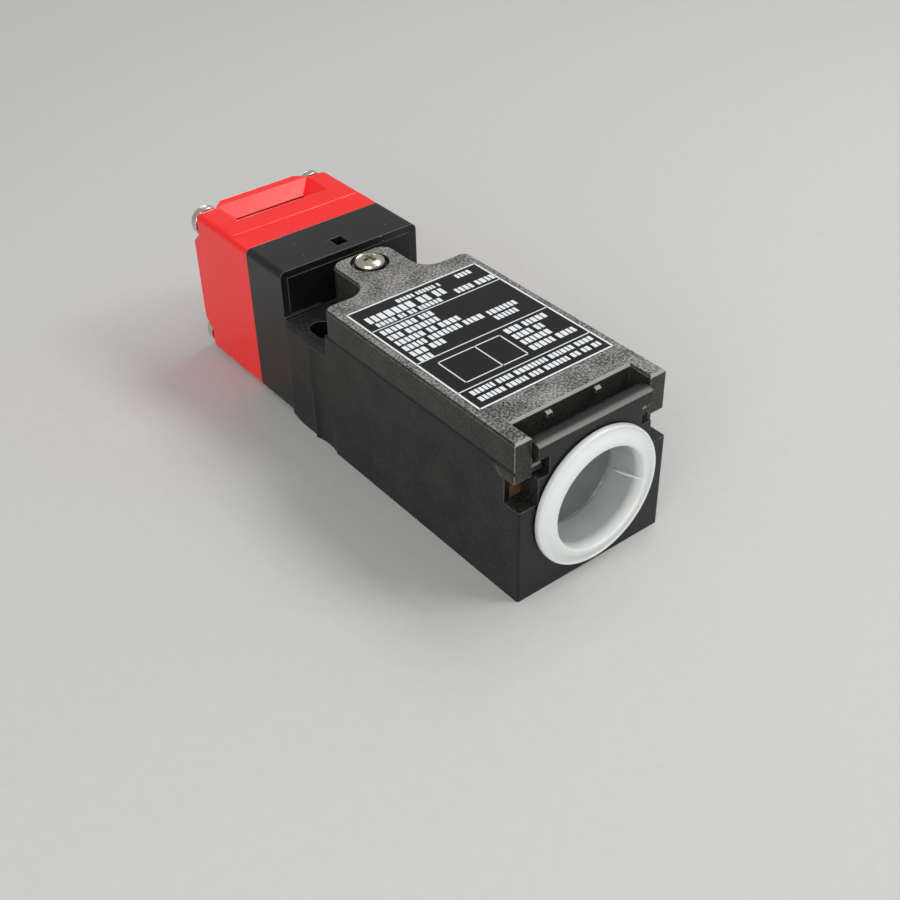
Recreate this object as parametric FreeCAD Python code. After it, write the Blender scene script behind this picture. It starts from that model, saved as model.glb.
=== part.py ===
# Tongue interlock switch: a guard-door switch worked by a separate forked key.
# The switch lies on its back. +X runs across it, +Y from the conduit end to the key head,
# +Z out of the mounting face. Sizes are in millimetres.
# The model is built with y = 0 on the conduit face, then moved so that the origin is the
# middle of the bounding box on the mounting face.
import FreeCAD, Part
import os
from math import cos, pi, radians, sin

V = FreeCAD.Vector
X, Y, Z = V(1, 0, 0), V(0, 1, 0), V(0, 0, 1)

# ---- Housing -------------------------------------------------------------------------
BODY_WIDTH = 30.0
BODY_LENGTH = 63.1          # conduit face to the joint with the head
SEAM_Z = 24.2               # rim of the side walls, where the cover lands
SHOULDER_Z = 20.7           # top of the block that holds the mounting slots
SHOULDER_LENGTH = 13.7      # the block's length, back to the joint with the head
WALL = 1.8
FLOOR = 2.0
END_WALL = 8.0              # thickness of the conduit wall below the rim
LIP_THICK = 3.2             # upright lip of the conduit wall, above the rim
LIP_RISE = 3.55             # above the rim
LIP_CROWN = 0.35
LIP_INSET = 3.6             # from the housing's side to the lip's end
NOTCH_Z = 17.6              # floor of the two corner notches that the cover's ears sit in
NOTCH_DEPTH = 3.4
POCKET_REACH = 2.1          # how far the hook pockets go in from the lip's ends
POCKET_SPAN = (-2.0, 1.4)   # their floor and roof, from the rim
SHOULDER_ROUND = 1.2
FACE_ROUND = 0.4            # upright edges of the conduit face
CAVITY_ROUND = 1.5
TAIL_CHAMFER = (2.9, 0.7)   # run and rise of the slope under the joint with the head
RIM_BEAD = (0.6, 0.5)       # width and height of the bead along the joint with the head
FLANK_GROOVE = (11.3, 6.6, 0.55)     # distance from the joint, width and depth
FLANK_SCOOP = 0.4           # depth of the hollow behind each groove
SCOOP_EDGE = [(0.3, 20.4), (0.7, 17.6), (1.4, 15.0), (2.7, 13.0), (4.5, 11.4), (6.5, 10.3)]
SCOOP_STEP = 0.4            # fall of the hollow's edge where it meets the groove

# ---- Mounting ------------------------------------------------------------------------
MOUNT_PITCH = 22.0
MOUNT_SLOT = (4.3, 6.3)     # width and overall length, long along Y
MOUNT_TO_JOINT = 7.55
STUD_PITCH = 20.0
STUD_TO_SLOT = 47.0
STUD_HOLE_R = 2.0
STUD_HOLE_DEPTH = 4.8
STUD_PAD = 1.6              # wall left round and above each stud hole

# ---- Conduit entry and its plug --------------------------------------------------------
CONDUIT_Z = 13.9
CONDUIT_R = 9.25            # crest radius of the M20 x 1.5 internal thread
PLUG_FIT = 0.10
PLUG_FLANGE_R = 12.1
PLUG_FLANGE = 1.1
PLUG_RIM = 2.2              # how far the mouth stands off the housing
PLUG_MOUTH_R = 8.95
PLUG_TAPER = 0.8
PLUG_DEPTH = 6.3
PLUG_END = 1.0
PLUG_EDGE = 0.4             # bevels of the flange and of the mouth

# ---- Cover ---------------------------------------------------------------------------
COVER_RISE = 5.2            # top above the housing's rim
COVER_PLATE = 2.2
COVER_FRONT = 5.6           # recessed front wall between the ears
COVER_END_WALL = 1.8
COVER_RIM = 2.6             # thickness of the skirt
EAR_FRONT = 1.15
EAR_WIDTH = 3.2
EAR_DROP = 1.9              # below the housing's rim
EAR_CURVE = 2.2             # radius where the skirt rises from the ear to the seam
EAR_GAP = 0.15
HOOK_REACH = 2.0            # how far the hook feet stand in from the ears
HOOK_SIZE = (1.7, 1.45)     # along Y and Z
HOOK_Y = 2.05               # the axis that the cover swings on
HOOK_DROP = 0.88
HOOK_ROUND = 0.5
COVER_BEVEL = 0.35
COVER_CORNER = 1.6          # rear corners, seen from above
NUB_R = 0.55
NUB_X = 4.9
NUB_DROP = 1.5
NECK_HALF = 6.0
NECK_TO_HEAD = 2.2
NECK_WALL = 1.0
NECK_CORNER = 2.5
NECK_FILLET = 3.5
SCREW_TO_HEAD = 6.1
SCREW_WELL_R = 3.45
SCREW_WELL = 1.2

# ---- Cover screw and the post under it ------------------------------------------------
POST_HALF = 4.2
POST_TO_NECK = 0.2
POST_DROP = 0.9             # below the rim, level with the hooks, so that the screw swings out
POST_GAP = 0.3
INSERT_R = 2.5              # half its hexagon's width across the corners, which face sideways
INSERT_LENGTH = 4.0
COVER_SCREW_R = 1.5
THREAD_GAP = 0.10
SCREW_CLEARANCE = 0.2       # round a screw in a plain hole
COVER_SCREW_HEAD_R = 2.7
COVER_SCREW_HEAD = 2.1
COVER_SCREW_LENGTH = 7.4

# ---- Gasket --------------------------------------------------------------------------
GASKET = 0.7
GASKET_EDGE = 0.9           # rim left outside the gasket
GASKET_INSIDE = 0.8         # how far the gasket reaches over the cavity
GASKET_FIT = 0.1
GASKET_SILL = 0.5           # end wall left bare inside the gasket
TAB_THICK = 2.1             # from the back of the notch
TAB_DROP = 0.5              # of its top, below the rim
GASKET_FRONT = 4.7
GASKET_TAB = (2.2, 1.1, 6.2)         # width, inset and length of each corner tab

# ---- Head ----------------------------------------------------------------------------
HEAD_INSET = 0.5            # of the head's sides from the housing's
HEAD_Z = 15.2               # height of the head's axis and of the plunger
HEAD_BASE_LENGTH = 11.1
HEAD_EDGE_R = 1.2
CAP_LENGTH = 18.4           # to the corner faces under the screws
CAP_PAD = 2.0               # the middle of the end face stands this far out
CAP_PAD_HALF = (7.6, 9.6)   # half width of the pad at its top and at its foot
CAP_WALL = 2.4
CAP_CAVITY_HALF = 8.3
CAP_PAD_ROUND = 0.8
CAP_STEP = (6.0, 0.2)       # length and depth of the band next to the head base
HEAD_RIM = 1.4              # rim of the head base, round the housing's square end flange
FLANGE_LENGTH = 2.9
SPIGOT_HALF = 8.0           # square guide of the plunger, behind the flange
SPIGOT_TO_CAP = 3.2
SPIGOT_GAP = 0.05
LATCH = (2.4, 2.8, 3.3)     # width, length and distance from the joint of the latch window
LATCH_GAP = 0.15
LATCH_RISE = 0.9

# ---- Head screws -----------------------------------------------------------------------
HEAD_SCREW_INSET = 2.9      # axis to the sides of the head
HEAD_SCREW_R = 1.5
HEAD_SCREW_HOLE_R = 1.7
HEAD_SCREW_TO_JOINT = 3.5   # the screws' ends to the joint with the housing
HEAD_SCREW_HEAD = (2.9, 2.3)

# ---- Key entries -------------------------------------------------------------------------
KEY_SLOT = (14.8, 2.2)
KEY_FUNNEL = (20.2, 7.2)
KEY_FROM_END = 6.1          # top entry: slot's middle to the end face
KEY_FROM_TOP = 7.0          # end entry: slot's middle to the top face

# ---- Cam, shaft and plunger ----------------------------------------------------------------
CAM_R = 6.0
CAM_TO_KEY = 0.4            # running space between the cam and the key's path
CAM_HALF = 7.6
CAM_TRACK_HALF = 2.8
CAM_TURN = 55.0             # degrees from key out to key home
CAM_DWELL = 30.0
CAM_NOTCH = (3.2, 3.0)      # width and depth of the notches that the key's prongs drive
TRAVEL = 2.5                # stroke of the plunger over the cam's turn
SHAFT_R = 1.2
SHAFT_HALF = 10.1
SHAFT_SEAT = 10.3
SHAFT_FIT = 0.02
FINGER_GAP = 0.1            # between the shaft and the fingers that hold it in its slots
RUN_GAP = 0.05
PLUNGER_R = 1.8
PLUNGER_NOSE_R = 0.9
PLUNGER_BORE_R = 2.05
CAM_FOLLOW_GAP = 0.3
COLLAR_R = 2.5
COLLAR = 1.0
COLLAR_GAP = 0.3
SEAL_R = 3.5
SEAL = 1.6
HEAD_GASKET = 0.8

# ---- Contact block ---------------------------------------------------------------------------
BLOCK_SIDE_GAP = 0.4
BLOCK_END_GAP = 1.0
BLOCK_LENGTH = 27.7
BLOCK_TOP = 19.0
BLOCK_END_WALL = 1.8
CHANNEL_HALF = 7.8
CHANNEL_FLOOR = 9.9
SLIDER_LENGTH = 20.6
SLIDER_HALF = 3.2
SLIDER_Z = (10.0, 20.2)
SLIDER_WINDOW = 5.4
NO_FROM_END = (18.2, 13.0)  # circuit closed while the key is out: its window in the slider
NC_FROM_END = (11.6, 5.7)   # circuit open while the key is out
BRIDGE = (7.4, 0.8, 4.0)    # half length, thickness and height
BRIDGE_STROKE = 2.0         # how far each bridge moves over the cam's turn
CONTACT_SIDE = 2.4
CONTACT = 0.6
CONTACT_X = 6.0
FACE_GAP = 0.05
TAB = (4.6, 7.2, 12.8)      # inner |x|, outer |x| and foot of each fixed contact's leg
STRIP = 0.8
PLATE = (4.6, 2.6, 6.4)     # reach inwards, reach outwards and length of each terminal plate
PLATE_THICK = 1.0
TERMINAL_INSET = 2.8        # from the block's side
TERMINAL_SHIFT = (0.3, -2.5)         # of the closing and opening pairs' screws from their legs
WASHER = (5.2, 0.9)
TERMINAL_SCREW_R = 1.6
TERMINAL_HEAD = (2.7, 2.0)
TERMINAL_LENGTH = 6.0
SNAP = (4.0, 0.9, 1.8)      # width, reach and rise of the wedges that hold the block down
BARRIER_THICK = 1.0         # walls between terminals
BARRIER_OFFSET = 4.2        # from the block's middle
BARRIER_DROP = 1.4          # their top, below the housing's rim
LID_HALF = 4.3
LID = 1.0
LID_GAP = 0.4               # above the terminal plates
LID_RIB = 0.8
SLIDER_GAP = 0.15

# ---- Springs ---------------------------------------------------------------------------------
WIRE_R = 0.25
CONTACT_SPRING_R = 1.5
RETURN_SPRING_R = 2.0
RETURN_POCKET = 1.5
SPRING_GAP = 0.05

# ---- Worked out from the sizes above ------------------------------------------------------------
HALF = BODY_WIDTH / 2
SHOULDER_START = BODY_LENGTH - SHOULDER_LENGTH
CAVITY_HALF = HALF - WALL
CAVITY_END = SHOULDER_START - WALL
LIP_HALF = HALF - LIP_INSET
LIP_TOP = SEAM_Z + LIP_RISE
POCKET_HALF = LIP_HALF - POCKET_REACH
POCKET_Z = (SEAM_Z + POCKET_SPAN[0], SEAM_Z + POCKET_SPAN[1])
MOUNT_Y = BODY_LENGTH - MOUNT_TO_JOINT
STUD_Y = MOUNT_Y - STUD_TO_SLOT
COVER_TOP = SEAM_Z + COVER_RISE
EAR_HALF = HALF - EAR_WIDTH
EAR_BOTTOM = SEAM_Z - EAR_DROP
HOOK_TIP = EAR_HALF - HOOK_REACH
HOOK_AXIS = (HOOK_Y, SEAM_Z - HOOK_DROP)
NUB_Z = COVER_TOP - NUB_DROP
NECK_END = BODY_LENGTH - NECK_TO_HEAD
SCREW_Y = BODY_LENGTH - SCREW_TO_HEAD
POST_END = NECK_END - NECK_WALL - POST_TO_NECK
POST_TOP = SEAM_Z - POST_DROP
TAB_OUT = HALF - GASKET_TAB[1]
TAB_IN = TAB_OUT - GASKET_TAB[0]
TAB_FOOT = SEAM_Z - GASKET_TAB[2]
TAB_FRONT = NOTCH_DEPTH + GASKET_FIT
TAB_BACK = TAB_FRONT + TAB_THICK
HEAD_HALF = HALF - HEAD_INSET
FLANGE_HALF = HEAD_HALF - HEAD_RIM
HEAD_LOW, HEAD_TOP = HEAD_Z - HEAD_HALF, HEAD_Z + HEAD_HALF
CAP_START = BODY_LENGTH + HEAD_BASE_LENGTH
CORNER_FACE = CAP_START + CAP_LENGTH
CAP_END = CORNER_FACE + CAP_PAD
HEAD_SCREW_LENGTH = CORNER_FACE - BODY_LENGTH - HEAD_SCREW_TO_JOINT
CAP_CAVITY_END = CAP_END - CAP_WALL
KEY_Y = CAP_END - KEY_FROM_END
KEY_Z = HEAD_TOP - KEY_FROM_TOP
CAM_Y = KEY_Y - KEY_SLOT[1] / 2 - CAM_TO_KEY - CAM_R
PLUNGER_TIP = CAM_Y - CAM_R - CAM_FOLLOW_GAP
BLOCK_HALF = CAVITY_HALF - BLOCK_SIDE_GAP
BLOCK_END = CAVITY_END - BLOCK_END_GAP
BLOCK_START = BLOCK_END - BLOCK_LENGTH
BARRIER_TOP = SEAM_Z - BARRIER_DROP
LID_Z = BLOCK_TOP + PLATE_THICK + LID_GAP
BLOCK_MIDDLE = (BLOCK_START + BLOCK_END) / 2
TERMINAL_X = BLOCK_HALF - TERMINAL_INSET
SLIDER_END = BLOCK_END - BLOCK_END_WALL
SLIDER_START = SLIDER_END - SLIDER_LENGTH
NO_WINDOW = (SLIDER_END - NO_FROM_END[0], SLIDER_END - NO_FROM_END[1])
NC_WINDOW = (SLIDER_END - NC_FROM_END[0], SLIDER_END - NC_FROM_END[1])
PLUNGER_FOOT = SLIDER_END + FACE_GAP
SPIGOT_END = CAP_START - SPIGOT_TO_CAP
SCREW_SEAT = COVER_TOP - SCREW_WELL
SCREW_OFFSET = HEAD_HALF - HEAD_SCREW_INSET
LOWEST_Y = -PLUG_RIM
HIGHEST_Y = max(CAP_END, CORNER_FACE + HEAD_SCREW_HEAD[1])
MIDDLE_Y = (LOWEST_Y + HIGHEST_Y) / 2


# ---- Small tools -----------------------------------------------------------------------------
def box(x, y, z):
    """A block between the low and high value given for each axis."""
    return Part.makeBox(x[1] - x[0], y[1] - y[0], z[1] - z[0], V(x[0], y[0], z[0]))


def rod(radius, start, end):
    """A cylinder between two points."""
    return Part.makeCylinder(radius, (end - start).Length, start, end - start)


def pair(shape):
    """The shape and its mirror image across the switch's middle plane."""
    return [shape, shape.mirror(V(0, 0, 0), X)]


def prism(points, depth):
    """A polygon swept along a vector."""
    return Part.Face(Part.makePolygon(points + points[:1])).extrude(depth)


def side_prism(outline, x):
    """A (y, z) outline swept across from x[0] to x[1]."""
    return prism([V(x[0], y, z) for y, z in outline], X * (x[1] - x[0]))


def turned(outline, origin, axis, radial):
    """A solid turned about an axis from (radius, distance along the axis) points."""
    points = [origin + radial * r + axis * a for r, a in outline]
    return Part.Face(Part.makePolygon(points + points[:1])).revolve(origin, axis, 360)


def rounded(shape, radius, wanted):
    """Fillet every edge whose middle and direction satisfy the test."""
    edges = []
    for edge in shape.Edges:
        if isinstance(edge.Curve, (Part.Line, Part.LineSegment)):
            along = (edge.Vertexes[1].Point - edge.Vertexes[0].Point).normalize()
            if wanted((edge.Vertexes[0].Point + edge.Vertexes[1].Point) / 2, along):
                edges.append(edge)
    return shape.makeFillet(radius, edges)


def bevelled(shape, size, wanted):
    """Chamfer every edge, straight or round, whose middle satisfies the test."""
    edges = [edge for edge in shape.Edges if wanted(edge.BoundBox.Center, edge)]
    return shape.makeChamfer(size, edges)


def parallel(direction, axis):
    return abs(direction.dot(axis)) > 0.999


def near(a, b):
    return abs(a - b) < 0.01


def tidy(shape):
    """One clean solid from a chain of joins and cuts."""
    shape = shape.removeSplitter()
    return shape.Solids[0] if len(shape.Solids) == 1 else shape


def slot_cutter(x, y, size, z):
    """A round-ended slot, long along Y, as a cutter between two heights."""
    radius = size[0] / 2
    reach = size[1] / 2 - radius
    middle = box((x - radius, x + radius), (y - reach, y + reach), z)
    ends = [rod(radius, V(x, y + side * reach, z[0]), V(x, y + side * reach, z[1]))
            for side in (-1, 1)]
    return middle.fuse(ends)


def spring(radius, start, end, turns):
    """A coil along Y on the plunger's axis, between two faces, bent from short straight runs."""
    per_turn, sides = 10, 5
    count = turns * per_turn
    pitch = (end - start - 2 * WIRE_R) / count
    route = [V(radius * cos(2 * pi * i / per_turn), start + WIRE_R + i * pitch,
               HEAD_Z + radius * sin(2 * pi * i / per_turn)) for i in range(count + 1)]
    along = (route[1] - route[0]).normalize()
    across = Y.cross(along).normalize()
    up = along.cross(across)
    section = [route[0] + (across * cos(2 * pi * k / sides) + up * sin(2 * pi * k / sides)) * WIRE_R
               for k in range(sides)]
    wire = Part.makePolygon(section + section[:1])
    return Part.makePolygon(route).makePipeShell([wire], True, False, 1)


def screw(seat, axis, head, shank_r, length):
    """A screw: its seat point, the way its head faces, and the head's radius and height."""
    radius, height = head
    outline = [(0, -length), (shank_r, -length), (shank_r, 0), (radius, 0),
               (radius, 0.55 * height), (0.72 * radius, height), (0, height)]
    return turned(outline, seat, axis, X)


# ---- Shared outlines ---------------------------------------------------------------------------
def ear_outline(gap):
    """The (y, z) outline of an ear and the skirt behind it, grown by a gap below."""
    low = EAR_BOTTOM - gap
    seam = SEAM_Z
    radius = EAR_CURVE
    bend = COVER_FRONT - radius + gap
    arc = [(bend + radius * sin(radians(a)), low + radius * (1 - cos(radians(a))))
           for a in range(0, 90, 15)]
    arc = [point for point in arc if point[1] < seam]
    return [(EAR_FRONT - gap, low)] + arc + [(COVER_FRONT + gap, seam)]


def square(half, y0, y1):
    """A square block about the head's axis."""
    return box((-half, half), (y0, y1), (HEAD_Z - half, HEAD_Z + half))


def screw_places():
    """The four corners that the head screws run through."""
    return [(sx * SCREW_OFFSET, HEAD_Z + sz * SCREW_OFFSET) for sx in (-1, 1) for sz in (-1, 1)]


def hexagon(height):
    """A hexagonal block in the screw post, standing on the insert's lower end."""
    corners = [V(INSERT_R * cos(pi * i / 3), SCREW_Y + INSERT_R * sin(pi * i / 3),
                 POST_TOP - INSERT_LENGTH) for i in range(6)]
    return prism(corners, Z * height)


# ---- Housing -------------------------------------------------------------------------------------
def base_housing():
    body = box((-HALF, HALF), (0, BODY_LENGTH), (0, SEAM_Z))
    body = body.cut(box((-HALF, HALF), (SHOULDER_START, BODY_LENGTH), (SHOULDER_Z, SEAM_Z)))
    body = rounded(body, SHOULDER_ROUND, lambda m, a: parallel(a, Y) and near(m.z, SHOULDER_Z))
    body = rounded(body, FACE_ROUND, lambda m, a: parallel(a, Z) and near(m.y, 0))
    run, rise = TAIL_CHAMFER
    body = body.cut(side_prism([(BODY_LENGTH - run, 0), (BODY_LENGTH, 0), (BODY_LENGTH, rise)],
                               (-HALF, HALF)))
    # upright lip of the conduit wall, with a crowned top
    crown = [V(-LIP_HALF, 0, LIP_TOP), V(-LIP_HALF, LIP_THICK / 2, LIP_TOP + LIP_CROWN),
             V(-LIP_HALF, LIP_THICK, LIP_TOP - LIP_CROWN)]
    edges = [Part.Arc(*crown).toShape(),
             Part.makePolygon([crown[2], V(-LIP_HALF, LIP_THICK, SEAM_Z - 1),
                               V(-LIP_HALF, 0, SEAM_Z - 1), crown[0]])]
    lip = Part.Face(Part.Wire(edges[0].Edges + edges[1].Edges)).extrude(X * 2 * LIP_HALF)
    body = body.fuse(lip)
    # bead along the joint with the head, beside the cover's neck
    bead = box((NECK_HALF + 1, HEAD_HALF), (BODY_LENGTH - RIM_BEAD[0], BODY_LENGTH),
               (SHOULDER_Z - 0.5, SHOULDER_Z + RIM_BEAD[1]))
    # screw post, and the spigot that carries the head
    post = box((-POST_HALF, POST_HALF), (SCREW_Y - POST_HALF, POST_END),
               (SHOULDER_Z - 1, POST_TOP))
    flange = square(FLANGE_HALF, BODY_LENGTH, BODY_LENGTH + FLANGE_LENGTH)
    spigot = square(SPIGOT_HALF, BODY_LENGTH, SPIGOT_END)
    # wedge on the flange that snaps into the head base's window
    width, length, offset = LATCH
    front, back = BODY_LENGTH + offset - length / 2 + LATCH_GAP, BODY_LENGTH + FLANGE_LENGTH
    latch_z = HEAD_Z + FLANGE_HALF
    latch = side_prism([(front, latch_z - 1), (back, latch_z - 1), (back, latch_z + 0.1),
                        (front, latch_z + LATCH_RISE)],
                       (-width / 2 + LATCH_GAP, width / 2 - LATCH_GAP))
    body = body.fuse(pair(bead) + [post, flange, spigot, latch])
    # cavity, with pads over the stud holes
    cavity = box((-CAVITY_HALF, CAVITY_HALF), (END_WALL, CAVITY_END), (FLOOR, SEAM_Z + 1))
    cavity = rounded(cavity, CAVITY_ROUND, lambda m, a: parallel(a, Z))
    body = body.cut(cavity)
    pad_half = STUD_HOLE_R + STUD_PAD
    pads = pair(box((STUD_PITCH / 2 - pad_half, CAVITY_HALF + 0.5),
                    (STUD_Y - pad_half, STUD_Y + pad_half), (FLOOR - 1, STUD_HOLE_DEPTH + STUD_PAD)))
    # wedges on the side walls that the contact block snaps under
    length, reach, rise = SNAP
    start, low = BLOCK_MIDDLE - length / 2, BLOCK_TOP + FACE_GAP
    wedge = prism([V(CAVITY_HALF + 0.2, start, low), V(CAVITY_HALF - reach, start, low),
                   V(CAVITY_HALF + 0.2, start, low + rise)], Y * length)
    body = body.fuse(pads + pair(wedge))
    # seat of the gasket, and the corner pockets of its tabs
    cuts = [box((-HALF + GASKET_EDGE, HALF - GASKET_EDGE),
                (GASKET_FRONT - GASKET_FIT, SHOULDER_START - GASKET_EDGE), (SEAM_Z - GASKET, SEAM_Z + 1))]
    cuts += pair(box((TAB_IN - GASKET_FIT, TAB_OUT + GASKET_FIT), (NOTCH_DEPTH - 1, TAB_BACK + GASKET_FIT),
                     (TAB_FOOT, SEAM_Z)))
    # corner notches and hook pockets
    cuts += pair(box((LIP_HALF, HALF + 1), (-1, NOTCH_DEPTH), (NOTCH_Z, COVER_TOP)))
    cuts += pair(box((POCKET_HALF, LIP_HALF + 1), (-1, NOTCH_DEPTH), POCKET_Z))
    ear_space = ear_outline(EAR_GAP)
    ear_space = ear_space + [(COVER_FRONT + EAR_GAP, SEAM_Z + 1), (EAR_FRONT - EAR_GAP, SEAM_Z + 1)]
    cuts += pair(side_prism(ear_space, (LIP_HALF, HALF + 1)))
    # holes: conduit, mounting slots, studs, plunger and its collar, cover screw's insert
    cuts.append(rod(CONDUIT_R, V(0, -1, CONDUIT_Z), V(0, END_WALL + 1, CONDUIT_Z)))
    cuts += pair(slot_cutter(MOUNT_PITCH / 2, MOUNT_Y, MOUNT_SLOT, (-1, SEAM_Z)))
    cuts += pair(rod(STUD_HOLE_R, V(STUD_PITCH / 2, STUD_Y, -1),
                     V(STUD_PITCH / 2, STUD_Y, STUD_HOLE_DEPTH)))
    cuts.append(rod(PLUNGER_BORE_R, V(0, CAVITY_END - 1, HEAD_Z), V(0, SPIGOT_END + 1, HEAD_Z)))
    cuts.append(rod(COLLAR_R + COLLAR_GAP, V(0, CAVITY_END - 1, HEAD_Z),
                    V(0, PLUNGER_FOOT + COLLAR + TRAVEL + COLLAR_GAP, HEAD_Z)))
    cuts.append(hexagon(INSERT_LENGTH + 1))
    body = body.cut(cuts)
    # hollowed flanks behind the cover
    to_joint, width, depth = FLANK_GROOVE
    middle = BODY_LENGTH - to_joint
    radius = (width ** 2 / 4 + depth ** 2) / (2 * depth)
    groove = rod(radius, V(HALF + radius - depth, middle, -1),
                 V(HALF + radius - depth, middle, SHOULDER_Z - 1.4))
    tail = [(BODY_LENGTH - back, z) for back, z in SCOOP_EDGE]
    scoop = tail + [(middle + width / 2, tail[-1][1] - SCOOP_STEP), (middle + width / 2, -1),
                    (BODY_LENGTH + 1, -1), (BODY_LENGTH + 1, tail[0][1])]
    body = body.cut(pair(groove) + pair(side_prism(scoop, (HALF - FLANK_SCOOP, HALF + 1))))
    return tidy(body)


def conduit_plug():
    """A thin cup with a dished flange, pressed into the conduit entry."""
    cup_r = CONDUIT_R - PLUG_FIT
    outline = [(0, PLUG_DEPTH - PLUG_END), (PLUG_MOUTH_R - PLUG_TAPER, PLUG_DEPTH - PLUG_END),
               (PLUG_MOUTH_R, 0.3 - PLUG_RIM), (PLUG_MOUTH_R + PLUG_EDGE, -PLUG_RIM),
               (PLUG_FLANGE_R - PLUG_EDGE, -PLUG_FLANGE - 0.1), (PLUG_FLANGE_R, PLUG_EDGE - PLUG_FLANGE),
               (PLUG_FLANGE_R, -FACE_GAP), (cup_r, -FACE_GAP), (cup_r, PLUG_DEPTH), (0, PLUG_DEPTH)]
    return turned(outline, V(0, 0, CONDUIT_Z), Y, X)


# ---- Cover --------------------------------------------------------------------------------------
def front_cover():
    plate = box((-HALF, HALF), (COVER_FRONT, SHOULDER_START), (SEAM_Z, COVER_TOP))
    ear = side_prism(ear_outline(0) + [(COVER_FRONT, COVER_TOP), (EAR_FRONT, COVER_TOP)],
                     (EAR_HALF, HALF))
    neck = box((-NECK_HALF, NECK_HALF), (SHOULDER_START - 1, NECK_END), (SHOULDER_Z, COVER_TOP))
    neck = rounded(neck, NECK_CORNER, lambda m, a: parallel(a, Z) and near(m.y, NECK_END))
    # the neck flares into the cover's rear edge
    flare = box((NECK_HALF - 0.5, NECK_HALF + NECK_FILLET),
                (SHOULDER_START - 0.5, SHOULDER_START + NECK_FILLET), (SHOULDER_Z, COVER_TOP))
    hollow = V(NECK_HALF + NECK_FILLET, SHOULDER_START + NECK_FILLET, 0)
    flare = flare.cut(rod(NECK_FILLET, hollow, hollow + Z * (COVER_TOP + 1)))
    cover = plate.fuse(pair(ear) + [neck] + pair(flare))
    cover = tidy(cover)
    cover = rounded(cover, COVER_CORNER, lambda m, a: parallel(a, Z) and near(m.y, SHOULDER_START)
                    and near(abs(m.x), HALF))
    cover = bevelled(cover, COVER_BEVEL, lambda m, edge: near(edge.BoundBox.ZMin, COVER_TOP))
    # hook feet, nubs on the recessed wall
    y, z = HOOK_AXIS
    foot = box((HOOK_TIP, EAR_HALF + 1), (y - HOOK_SIZE[0] / 2, y + HOOK_SIZE[0] / 2),
               (z - HOOK_SIZE[1] / 2, z + HOOK_SIZE[1] / 2))
    foot = rounded(foot, HOOK_ROUND, lambda m, a: parallel(a, X))
    nub = side_prism([(COVER_FRONT, NUB_Z + NUB_R), (COVER_FRONT - NUB_R, NUB_Z + 0.5 * NUB_R),
                      (COVER_FRONT - NUB_R, NUB_Z - 0.5 * NUB_R), (COVER_FRONT, NUB_Z - NUB_R)],
                     (NUB_X - NUB_R, NUB_X + NUB_R))
    cover = cover.fuse(pair(foot) + pair(nub))
    # inside: shallow tray, hollow neck, screw hole
    inside = [box((-HALF + COVER_RIM, HALF - COVER_RIM),
                  (COVER_FRONT + COVER_END_WALL, SHOULDER_START - COVER_RIM),
                  (SEAM_Z - 1, COVER_TOP - COVER_PLATE)),
              box((-POST_HALF - POST_GAP, POST_HALF + POST_GAP), (SHOULDER_START, NECK_END - NECK_WALL),
                  (SHOULDER_Z - 1, COVER_TOP - COVER_PLATE)),
              rod(SCREW_WELL_R, V(0, SCREW_Y, SCREW_SEAT), V(0, SCREW_Y, COVER_TOP + 1)),
              rod(COVER_SCREW_R + SCREW_CLEARANCE, V(0, SCREW_Y, SHOULDER_Z), V(0, SCREW_Y, COVER_TOP))]
    # the neck straddles the housing's rear wall below the seam
    inside.append(box((-HALF, HALF), (SHOULDER_START - 2, SHOULDER_START + EAR_GAP), (0, SEAM_Z)))
    return tidy(cover.cut(inside))


def cover_gasket():
    rim = GASKET_EDGE + GASKET_FIT
    outer = box((-HALF + rim, HALF - rim), (GASKET_FRONT, SHOULDER_START - rim), (SEAM_Z - GASKET, SEAM_Z))
    inner = box((-CAVITY_HALF + GASKET_INSIDE, CAVITY_HALF - GASKET_INSIDE),
                (END_WALL - GASKET_SILL, CAVITY_END - GASKET_INSIDE), (0, COVER_TOP))
    tab = box((TAB_IN, TAB_OUT), (TAB_FRONT, TAB_BACK), (TAB_FOOT, SEAM_Z - TAB_DROP))
    ear_space = ear_outline(EAR_GAP) + [(COVER_FRONT + EAR_GAP, COVER_TOP), (0, COVER_TOP)]
    gasket = outer.cut(inner).fuse(pair(tab))
    return tidy(gasket.cut(pair(side_prism(ear_space, (LIP_HALF, HALF)))))


def cover_screw():
    return screw(V(0, SCREW_Y, SCREW_SEAT), Z, (COVER_SCREW_HEAD_R, COVER_SCREW_HEAD),
                 COVER_SCREW_R, COVER_SCREW_LENGTH)


def cover_insert():
    """Hexagonal brass bush moulded into the screw post."""
    bore = rod(COVER_SCREW_R + THREAD_GAP, V(0, SCREW_Y, 0), V(0, SCREW_Y, COVER_TOP))
    return hexagon(INSERT_LENGTH).cut(bore)


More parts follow.
